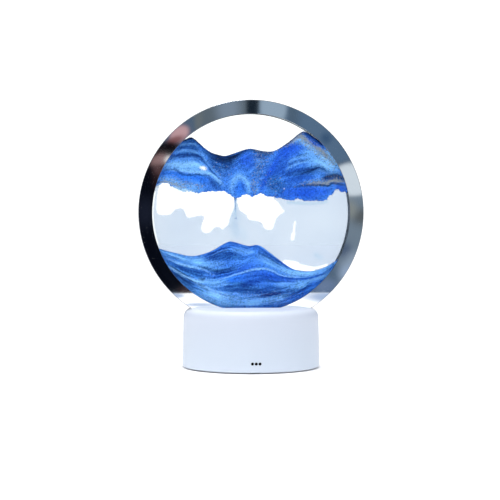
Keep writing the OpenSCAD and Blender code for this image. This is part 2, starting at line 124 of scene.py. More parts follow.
class Maker:
    """Builds a node tree with short calls. Sockets, numbers and colours go in alike."""

    def __init__(self, tree, shader=None):
        self.tree = tree
        self.shader = shader

    def put(self, socket, value):
        if isinstance(value, bpy.types.NodeSocket):
            self.tree.links.new(value, socket)
        elif value is not None:
            if hasattr(value, "__len__") and len(value) == 3 and socket.type == "RGBA":
                value = (*value, 1)
            socket.default_value = value

    def colour(self, value):
        self.put(self.shader.inputs["Base Color"], value)

    def rough(self, value):
        self.put(self.shader.inputs["Roughness"], value)

    def normal(self, value):
        self.put(self.shader.inputs["Normal"], value)

    def node(self, kind, inputs=None, **settings):
        made = self.tree.nodes.new("ShaderNode" + kind)
        for name, value in settings.items():
            setattr(made, name, value)
        for name, value in (inputs or {}).items():
            self.put(made.inputs[name], value)
        return made

    def maths(self, operation, a, b=None, c=None, clamp=False):
        made = self.node("Math", {0: a}, operation=operation, use_clamp=clamp)
        if b is not None:
            self.put(made.inputs[1], b)
        if c is not None:
            self.put(made.inputs[2], c)
        return made.outputs[0]

    def blend(self, share, a, b, how="MIX"):
        made = self.node("Mix", data_type="RGBA", blend_type=how)
        for index, value in ((0, share), (6, a), (7, b)):
            self.put(made.inputs[index], value)
        return made.outputs[2]

    def remap(self, value, low, high, to_low=0.0, to_high=1.0, smooth=False):
        kind = "SMOOTHSTEP" if smooth else "LINEAR"
        inputs = {"Value": value, "From Min": low, "From Max": high, "To Min": to_low,
                  "To Max": to_high}
        return self.node("MapRange", inputs, interpolation_type=kind).outputs[0]

    def place(self):
        return self.node("TexCoord").outputs["Object"]

    def noise(self, scale, detail=3.0, roughness=0.55, place=None, distortion=0.0):
        inputs = {"Vector": place or self.place(), "Scale": scale, "Detail": detail,
                  "Roughness": roughness, "Distortion": distortion}
        return self.node("TexNoise", inputs).outputs[0]

    def stretched(self, x, y, z):
        """Object coordinates, multiplied along each axis."""
        made = self.node("VectorMath", {0: self.place(), 1: (x, y, z)}, operation="MULTIPLY")
        return made.outputs[0]

    def ramp(self, share, stops, constant=False):
        made = self.node("ValToRGB", {"Fac": share})
        band = made.color_ramp
        band.interpolation = "CONSTANT" if constant else "LINEAR"
        while len(band.elements) < len(stops):
            band.elements.new(0.5)
        for element, (position, colour) in zip(band.elements, stops):
            element.position = position
            element.color = (*colour, 1)
        return made.outputs[0]

    def tones(self, share, low, high, start=0.3, end=0.7):
        """A ramp between two hex colours."""
        return self.ramp(share, [(start, srgb(low)), (end, srgb(high))])

    def axis(self, vector, index):
        return self.node("SeparateXYZ", {0: vector}).outputs[index]

    def length(self, vector):
        return self.node("VectorMath", {0: vector}, operation="LENGTH").outputs["Value"]

    def patch(self, place, spot, size, soft, tilt=0):
        """1 inside an ellipse round the spot, falling to 0 over its soft rim."""
        inputs = {"Vector": place, "Location": (*spot, 0.0), "Scale": (*size, 1.0),
                  "Rotation": (0.0, 0.0, math.radians(tilt))}
        reach = self.length(self.node("Mapping", inputs, vector_type="TEXTURE").outputs[0])
        return self.remap(reach, 1 + soft, 1 - soft, smooth=True)

    def bump(self, height, strength, distance):
        inputs = {"Height": height, "Strength": strength, "Distance": distance}
        return self.node("Bump", inputs).outputs[0]


def new_material(name, **sockets):
    """A material with one Principled shader, and the Maker for it."""
    mat = bpy.data.materials.new(name)
    mat.use_nodes = True
    make = Maker(mat.node_tree, mat.node_tree.nodes["Principled BSDF"])
    for socket, value in sockets.items():
        make.put(make.shader.inputs[socket.replace("_", " ")], value)
    return mat, make


def put_in_scene(name, data):
    """A new object with that name and data, linked into the scene."""
    thing = bpy.data.objects.new(name, data)
    bpy.context.scene.collection.objects.link(thing)
    return thing


def dress(material, *nodes):
    """Gives CAD nodes that material."""
    for node in nodes:
        for slot in NODES[node].material_slots:
            slot.material = material


# ---------------------------------------------------------------- materials

def moulded_plastic(name, colour, roughness=0.42, grain=2600, depth=0.12, tone=0.03, shine=0.45):
    """Moulded plastic: fine spark-eroded grain, a faint change of tone and worn gloss."""
    mat, make = new_material(name, Specular_IOR_Level=shine)
    cloud = make.noise(18, 2)
    darker = tuple(v * (1 - 2 * tone) for v in colour)
    lighter = tuple(min(1, v * (1 + tone)) for v in colour)
    make.colour(make.ramp(cloud, [(0.3, darker), (0.7, lighter)]))
    fine = make.noise(grain, 2, 0.6)
    scuffs = make.noise(90, 4, 0.65)
    rough = make.maths("MULTIPLY_ADD", scuffs, 0.16, roughness - 0.08)
    make.rough(rough)
    make.normal(make.bump(fine, depth, 0.00005))
    return mat


def shell_plastic():
    """The base's satin white plastic, with painted light: a touch cooler low down, painted shade
    where the light falls off, and paler where it faces up, a painted highlight on its top."""
    mat, make = new_material("shell_plastic", Specular_IOR_Level=0.4)
    height = make.axis(make.place(), 2)
    # painted shade: the colour cools from the top down the sides
    down = make.remap(height, BASE_HIGH.z, BASE_LOW.z)
    body = make.ramp(down, [
        (0.0, srgb("D1D7E3")), (0.5, srgb("CCD5E1")), (0.8, srgb("CAD4E0")), (1.0, srgb("CCD6E2"))])
    # painted highlight: the colour pales where the surface faces up
    up = make.axis(make.node("NewGeometry").outputs["Normal"], 2)
    top = make.remap(up, 0.45, 1.0, smooth=True)
    cloud = make.noise(14, 3)
    tinted = make.blend(make.maths("MULTIPLY", cloud, 0.25), body, srgb("CCD5E2"))
    tinted = make.blend(top, tinted, srgb("EAF0F8"))
    make.colour(tinted)
    scuffs = make.noise(70, 4, 0.6)
    make.rough(make.remap(scuffs, 0.3, 0.7, 0.36, 0.5))
    fine = make.noise(2400, 2, 0.6)
    make.normal(make.bump(fine, 0.12, 0.00005))
    return mat


def milky_plastic():
    """Plastic that scatters light, with faint flow marks."""
    mat, make = new_material(
        "milky_plastic", Subsurface_Weight=0.4, Specular_IOR_Level=0.4)
    make.shader.inputs["Subsurface Radius"].default_value = (0.004, 0.004, 0.004)
    flow = make.noise(60, 3, place=make.stretched(1, 1, 0.4))
    make.colour(make.tones(flow, "E4EAF0", "F4F7FA"))
    make.rough(make.remap(flow, 0.3, 0.7, 0.42, 0.55))
    return mat


def mirror_metal(name="mirror_silver", low="EEF1F4", high="F8FAFB"):
    """Mirror-bright plating on the flat faces, with the faintest haze and dust; its rim and edges
    are brushed, and painted darker as a dark outline of shade round the ring."""
    mat, make = new_material(name, Metallic=1.0)
    across = make.axis(make.node("NewGeometry").outputs["Normal"], 1)
    edge = make.remap(make.maths("ABSOLUTE", across), 0.95, 0.85)
    smear = make.noise(26, 4, 0.6, distortion=0.4)
    bright = make.tones(smear, low, high, 0.35)
    brushed = make.noise(900, 3, place=make.stretched(0.1, 1, 0.1))
    # painted shade: rim and edges take a darker steel colour, a dark outline round the ring
    steel = make.tones(brushed, "6A7078", "8A9098")
    make.colour(make.blend(edge, bright, steel))
    dust = make.noise(1500, 2, 0.7)
    specks = make.remap(dust, 0.71, 0.75, 0.0, 0.25)
    haze = make.remap(smear, 0.3, 0.75, 0.012, 0.035)
    rough = make.maths("ADD", haze, specks)
    brushed_rough = make.remap(brushed, 0.3, 0.7, 0.22, 0.36)
    made = make.node("Mix", {0: edge, 2: rough, 3: brushed_rough}, data_type="FLOAT")
    make.rough(made.outputs[0])
    return mat


def pane_glass():
    """A thin clear pane: light goes straight through, and each face mirrors as glass does."""
    mat = bpy.data.materials.new("pane_glass")
    mat.use_nodes = True
    tree = mat.node_tree
    make = Maker(tree)
    output = tree.nodes["Material Output"]
    tree.nodes.remove(tree.nodes["Principled BSDF"])
    clear = make.node("BsdfTransparent", {"Color": srgb("FEFFFF")})
    smear = make.noise(40, 4, 0.6)
    shine = make.node("BsdfGlossy", {
        "Color": (1, 1, 1), "Roughness": make.remap(smear, 0.3, 0.8, 0.01, 0.05)})
    facing = make.node("LayerWeight", {"Blend": 0.5}).outputs["Facing"]
    edge = make.maths("POWER", facing, 5.0)
    share = make.maths("MULTIPLY_ADD", edge, 0.9, 0.005, clamp=True)
    mixed = make.node("MixShader", {0: share, 1: clear.outputs[0], 2: shine.outputs[0]})
    make.put(output.inputs["Surface"], mixed.outputs[0])
    return mat


def screw_steel():
    """Zinc-plated steel: turned heads with fine scratches."""
    mat, make = new_material("screw_steel", Metallic=1.0)
    scratch = make.noise(1500, 3, place=make.stretched(1, 0.15, 1))
    make.colour(make.tones(scratch, "8F9296", "C4C7CB"))
    make.rough(make.remap(scratch, 0.3, 0.7, 0.22, 0.42))
    make.normal(make.bump(scratch, 0.15, 0.00005))
    return mat


def rubber(name, code, roughness=0.8):
    """Matt rubber with a dusty bloom."""
    mat, make = new_material(name, Specular_IOR_Level=0.3)
    bloom = make.noise(240, 4, 0.65)
    colour = srgb(code)
    dusty = tuple(min(1, 0.75 * v + 0.06) for v in colour)
    make.colour(make.ramp(bloom, [(0.4, colour), (0.8, dusty)]))
    make.rough(make.remap(bloom, 0.3, 0.7, roughness - 0.1, roughness))
    make.normal(make.bump(make.noise(1900, 2), 0.2, 0.00006))
    return mat


def circuit_board(name, mask_code, trace_code):
    """Solder mask over copper: straight traces show through as paler lines."""
    mat, make = new_material(name, Specular_IOR_Level=0.5)
    bricks = make.node("TexBrick", {
        "Vector": make.place(), "Scale": 420.0, "Color1": srgb(mask_code),
        "Color2": srgb(mask_code), "Mortar": srgb(trace_code), "Mortar Size": 0.035})
    cloud = make.noise(160, 3)
    shade = make.remap(cloud, 0.3, 0.7, 0.0, 0.2)
    make.colour(make.blend(shade, bricks.outputs["Color"], srgb(trace_code)))
    make.rough(make.remap(cloud, 0.3, 0.7, 0.28, 0.4))
    make.normal(make.bump(bricks.outputs["Fac"], -0.2, 0.00003))
    return mat


def battery_foil():
    """Aluminium-laminate pouch: a soft sheen with shallow dents."""
    mat, make = new_material("battery_foil", Metallic=0.85)
    dents = make.noise(85, 4, 0.6)
    make.colour(make.tones(dents, "A9ADB3", "C9CCD1"))
    make.rough(make.remap(dents, 0.3, 0.7, 0.3, 0.45))
    make.normal(make.bump(dents, 0.5, 0.0004))
    return mat


def foam_grey():
    """Open-celled grey foam."""
    mat, make = new_material("foam_grey", Roughness=0.95, Specular_IOR_Level=0.15)
    cells = make.node("TexVoronoi", {"Vector": make.place(), "Scale": 1600.0})
    make.colour(make.tones(cells.outputs[0], "4C4D50", "7A7B7E", 0.1, 0.6))
    make.normal(make.bump(cells.outputs[0], 0.7, 0.0002))
    return mat


def wire_insulation():
    """Red on the left wire of each pair and black on the right, by where it lies."""
    mat, make = new_material("wire_insulation", Specular_IOR_Level=0.4)
    side = make.axis(make.place(), 0)
    pair = make.maths("PINGPONG", make.maths("ADD", side, 0.014), 0.001)
    streaks = make.noise(700, 3)
    red = make.tones(streaks, "8E1513", "B4221D")
    shade = make.remap(pair, 0.0009, 0.001, 0.0, 0.15)
    make.colour(make.blend(shade, red, srgb("1A1A1C")))
    make.rough(make.remap(streaks, 0.3, 0.7, 0.4, 0.55))
    return mat


def led_package():
    """White ceramic-filled resin round a yellow phosphor well."""
    mat, make = new_material("led_package", Roughness=0.45)
    grain = make.noise(1200, 3)
    make.colour(make.tones(grain, "E8D683", "F1E7B4", 0.35, 0.65))
    make.normal(make.bump(grain, 0.15, 0.00005))
    return mat


# CAD nodes of moulded plastic: node, material, colour and roughness
PLAIN_PLASTICS = [
    ("power_button", "button_plastic", "E3E9F2", 0.35),
    ("tact_switch", "switch_black", "1C1C1F", 0.5),
    ("switch_plunger", "plunger_orange", "D26A2A", 0.45),
    ("board_components", "component_black", "1A1A1D", 0.5),
    ("wire_connectors", "connector_ivory", "E9E2CD", 0.5),
    ("usb_tongue", "port_tongue_black", "101012", 0.45),
]


def dress_frame():
    """Gives every CAD node its material."""
    dress(shell_plastic(), "base_shell")
    dress(moulded_plastic("cover_plastic", srgb("DDE4EE"), 0.55, 1900, 0.3), "bottom_cover")
    for node, name, code, roughness in PLAIN_PLASTICS:
        dress(moulded_plastic(name, srgb(code), roughness), node)
    dots = moulded_plastic("light_pipe_black", srgb("020203"), 0.6, shine=0.05)
    dress(dots, "indicator_light_pipe")
    dress(milky_plastic(), "disc_cradle")
    dress(mirror_metal(), "front_bezel")
    dress(mirror_metal("mirror_rear", "BCC3CA", "C8CFD5"), "rear_bezel")
    dress(pane_glass(), "front_glass", "rear_glass")
    dress(screw_steel(), "cradle_screws", "led_board_screws", "cover_screws",
          "main_board_screws", "usb_socket")
    dress(rubber("foot_rubber", "2A2A2C"), "rubber_feet")
    dress(rubber("plug_rubber", "4A4C50"), "fill_plug")
    dress(rubber("seal_rubber", "F2F5F8", 0.5), "seal_ring")
    dress(circuit_board("board_green", "0E4A2A", "2C7A4C"), "main_board", "indicator_board")
    dress(circuit_board("led_board_white", "EDEFEE", "D9DDDC"), "led_board")
    dress(led_package(), "led_chips", "indicator_leds")
    dress(battery_foil(), "battery_cell")
    dress(foam_grey(), "battery_foam_pad")
    dress(wire_insulation(), "battery_wires", "led_wires", "indicator_wires")


# ---------------------------------------------------------------- plane fields, in mm

def outline(node):
    """The edges of a CAD node's front face, as [[x, z], [x, z]] rows from the disc's centre."""
    mesh = NODES[node].data
    spots = np.array([v.co for v in mesh.vertices])
    front = spots[:, 1].min()
    flat = np.round((spots[:, [0, 2]] - [DISC.x, DISC.z]) / MM, 4)
    counts = {}
    for face in mesh.polygons:
        corners = list(face.vertices)
        if max(spots[corners, 1]) > front + 0.01 * MM:
            continue
        for a, b in zip(corners, corners[1:] + corners[:1]):
            key = tuple(sorted((tuple(flat[a]), tuple(flat[b]))))
            counts[key] = counts.get(key, 0) + 1
    return np.array([key for key, count in counts.items() if count == 1])


def distance(x, z, edges):
    """Distance from each point to the nearest of the edges."""
    best = np.full(x.shape, 1e9)
    for (ax, az), (bx, bz) in edges:
        dx, dz = bx - ax, bz - az
        along = np.clip(((x - ax) * dx + (z - az) * dz) / (dx * dx + dz * dz + 1e-12), 0, 1)
        best = np.minimum(best, (x - ax - along * dx) ** 2 + (z - az - along * dz) ** 2)
    return np.sqrt(best)


def distance_along(x, z, points):
    """Distance to a smooth line through the points, the share of its length at which the
    nearest place lies, and 1 to the left of the line or -1 to the right."""
    line = curve_through(points)
    lengths = np.hypot(*(line[1:] - line[:-1]).T)
    starts = np.concatenate([[0], np.cumsum(lengths)])
    best, along, side = np.full(x.shape, 1e9), np.zeros(x.shape), np.ones(x.shape)
    for (ax, az), (bx, bz), length, start in zip(line[:-1], line[1:], lengths, starts):
        dx, dz = bx - ax, bz - az
        share = np.clip(((x - ax) * dx + (z - az) * dz) / (length ** 2 + 1e-12), 0, 1)
        away = (x - ax - share * dx) ** 2 + (z - az - share * dz) ** 2
        closer = away < best
        best = np.where(closer, away, best)
        along = np.where(closer, (start + share * length) / starts[-1], along)
        side = np.where(closer, np.sign(dx * (z - az) - dz * (x - ax)), side)
    return np.sqrt(best), along, side


def signed_distance(x, z, edges):
    """Distance to the edges, positive inside the outline that they make, negative outside."""
    inside = np.zeros(x.shape, bool)
    for (ax, az), (bx, bz) in edges:
        if az == bz:
            continue
        crossing = (az > z) != (bz > z)
        inside ^= crossing & (x < (bx - ax) * (z - az) / (bz - az) + ax)
    return np.where(inside, 1, -1) * distance(x, z, edges)


def smoothstep(low, high, value):
    """0 at low, 1 at high and a smooth step between. low may be the larger one."""
    t = np.clip((value - low) / (high - low), 0, 1)
    return t * t * (3 - 2 * t)


def ripple(x, z, size, seed):
    """Smooth seeded noise from -1 to 1, with features of about that size."""
    table = np.random.default_rng(seed).random((64, 64)) * 2 - 1
    u, v = x / size, z / size
    i, j = np.floor(u).astype(int), np.floor(v).astype(int)
    fu, fv = smoothstep(0, 1, u - i), smoothstep(0, 1, v - j)

    def corner(a, b):
        return table[(i + a) % 64, (j + b) % 64]

    low = corner(0, 0) * (1 - fu) + corner(1, 0) * fu
    high = corner(0, 1) * (1 - fu) + corner(1, 1) * fu
    return low * (1 - fv) + high * fv


def rounded(share):
    """The height of a rounded rim at that share of its width."""
    return np.sqrt(1 - (1 - share) ** 2)


def curve_through(points, steps=6):
    """A smooth line through given points."""
    p = np.array(points, float)
    if len(p) < 3:
        return p
    before = np.vstack([p[:1], p[:-1]])
    after = np.vstack([p[2:], p[-1:]])
    found = []
    for k in range(len(p) - 1):
        a, b, c, d = before[k], p[k], p[k + 1], after[k] if k < len(p) - 2 else p[-1]
        for t in np.arange(steps) / steps:
            found.append(0.5 * (2 * b + (c - a) * t + (2 * a - 5 * b + 4 * c - d) * t * t
                                + (3 * b - a - 3 * c + d) * t ** 3))
    return np.array(found + [p[-1]])


# ---------------------------------------------------------------- sheets between the panes

def sheet_between_panes(name, x, z, field, half):
    """A closed sheet where field is positive. x, z and field are grids, and half is the sheet's
    half thickness at each point. Returns the object and each vertex's place in the grids."""
    step = x[1, 0] - x[0, 0]
    slope_x, slope_z = np.gradient(field, step)
    steep = np.maximum(np.hypot(slope_x, slope_z), 0.2)
    near = np.abs(field) < 0.5 * step * steep
    shift = np.where(near, -field / steep ** 2, 0)
    px, pz = x + shift * slope_x, z + shift * slope_z
    solid = near | (field > 0)
    cells = solid[:-1, :-1] & solid[1:, :-1] & solid[1:, 1:] & solid[:-1, 1:]
    cells &= ~(near[:-1, :-1] & near[1:, :-1] & near[1:, 1:] & near[:-1, 1:])
    cells = without_corner_contacts(cells)
    rows, columns = np.nonzero(cells)
    number = np.full(x.shape, -1)
    used = np.zeros(x.shape, bool)
    for a, b in ((0, 0), (1, 0), (1, 1), (0, 1)):
        used[rows + a, columns + b] = True
    number[used] = np.arange(used.sum())
    count = int(used.sum())
    quads = np.stack([number[rows, columns], number[rows + 1, columns],
                      number[rows + 1, columns + 1], number[rows, columns + 1]], axis=1)
    sides = np.concatenate([quads[:, [k, (k + 1) % 4]] for k in range(4)])
    forward = {(int(a), int(b)) for a, b in sides}
    rim = np.array([(a, b) for a, b in forward if (b, a) not in forward])
    rim = rim[np.lexsort((rim[:, 1], rim[:, 0]))]
    walls = np.stack([rim[:, 1], rim[:, 0], rim[:, 0] + count, rim[:, 1] + count], axis=1)
    faces = np.concatenate([quads, quads[:, ::-1] + count, walls])
    flat = np.stack([px[used], -half[used], pz[used]], axis=1)
    back = flat * [1, -1, 1]
    spots = np.concatenate([flat, back]) * MM + np.array(DISC)
    mesh = bpy.data.meshes.new(name)
    mesh.from_pydata(spots.tolist(), [], faces.tolist())
    mesh.shade_smooth()
    mesh.update()
    return put_in_scene(name, mesh), used


def without_corner_contacts(cells):
    """Drops cells that touch others at a corner only, which a closed sheet can't have."""
    kept = cells.copy()
    for _ in range(4):
        a, b = kept[:-1, :-1], kept[1:, 1:]
        c, d = kept[1:, :-1], kept[:-1, 1:]
        falling = a & b & ~c & ~d
        rising = c & d & ~a & ~b
        if not (falling.any() or rising.any()):
            break
        kept[:-1, :-1] &= ~falling
        kept[1:, :-1] &= ~rising
    return kept


def grid(edges, step, margin=1.5):
    """Grids of x and z over the edges and a margin round them."""
    low, high = edges.min((0, 1)) - margin, edges.max((0, 1)) + margin
    xs = np.arange(low[0], high[0] + step, step)
    zs = np.arange(low[1], high[1] + step, step)
    return np.meshgrid(xs, zs, indexing="ij")


def give(thing, used, name, values):
    """Stores values of a grid on the front and back vertices of a sheet."""
    chosen = values[used]
    both = np.concatenate([chosen, chosen]).astype(np.float32)
    kind = "FLOAT" if both.ndim == 1 else "FLOAT_COLOR"
    layer = thing.data.attributes.new(name, kind, "POINT")
    if kind == "FLOAT":
        layer.data.foreach_set("value", both)
    else:
        both = np.concatenate([both, np.ones((len(both), 1), np.float32)], axis=1)
        layer.data.foreach_set("color", both.ravel())


# ---------------------------------------------------------------- sand colours

SAND = {name: np.array(srgb(code)) for name, code in {
    "black": "0A2650", "navy": "1C4A92", "deep": "205AC8", "royal": "245EDC", "vivid": "3480F4",
    "blue": "4484E6", "steel": "4A80C8", "sky": "72B2F6", "pale": "92CCFF", "gold": "8094AC",
    "white": "FFFFFF", "teal": "2A66B4", "mist": "B8D8EE"}.items()}

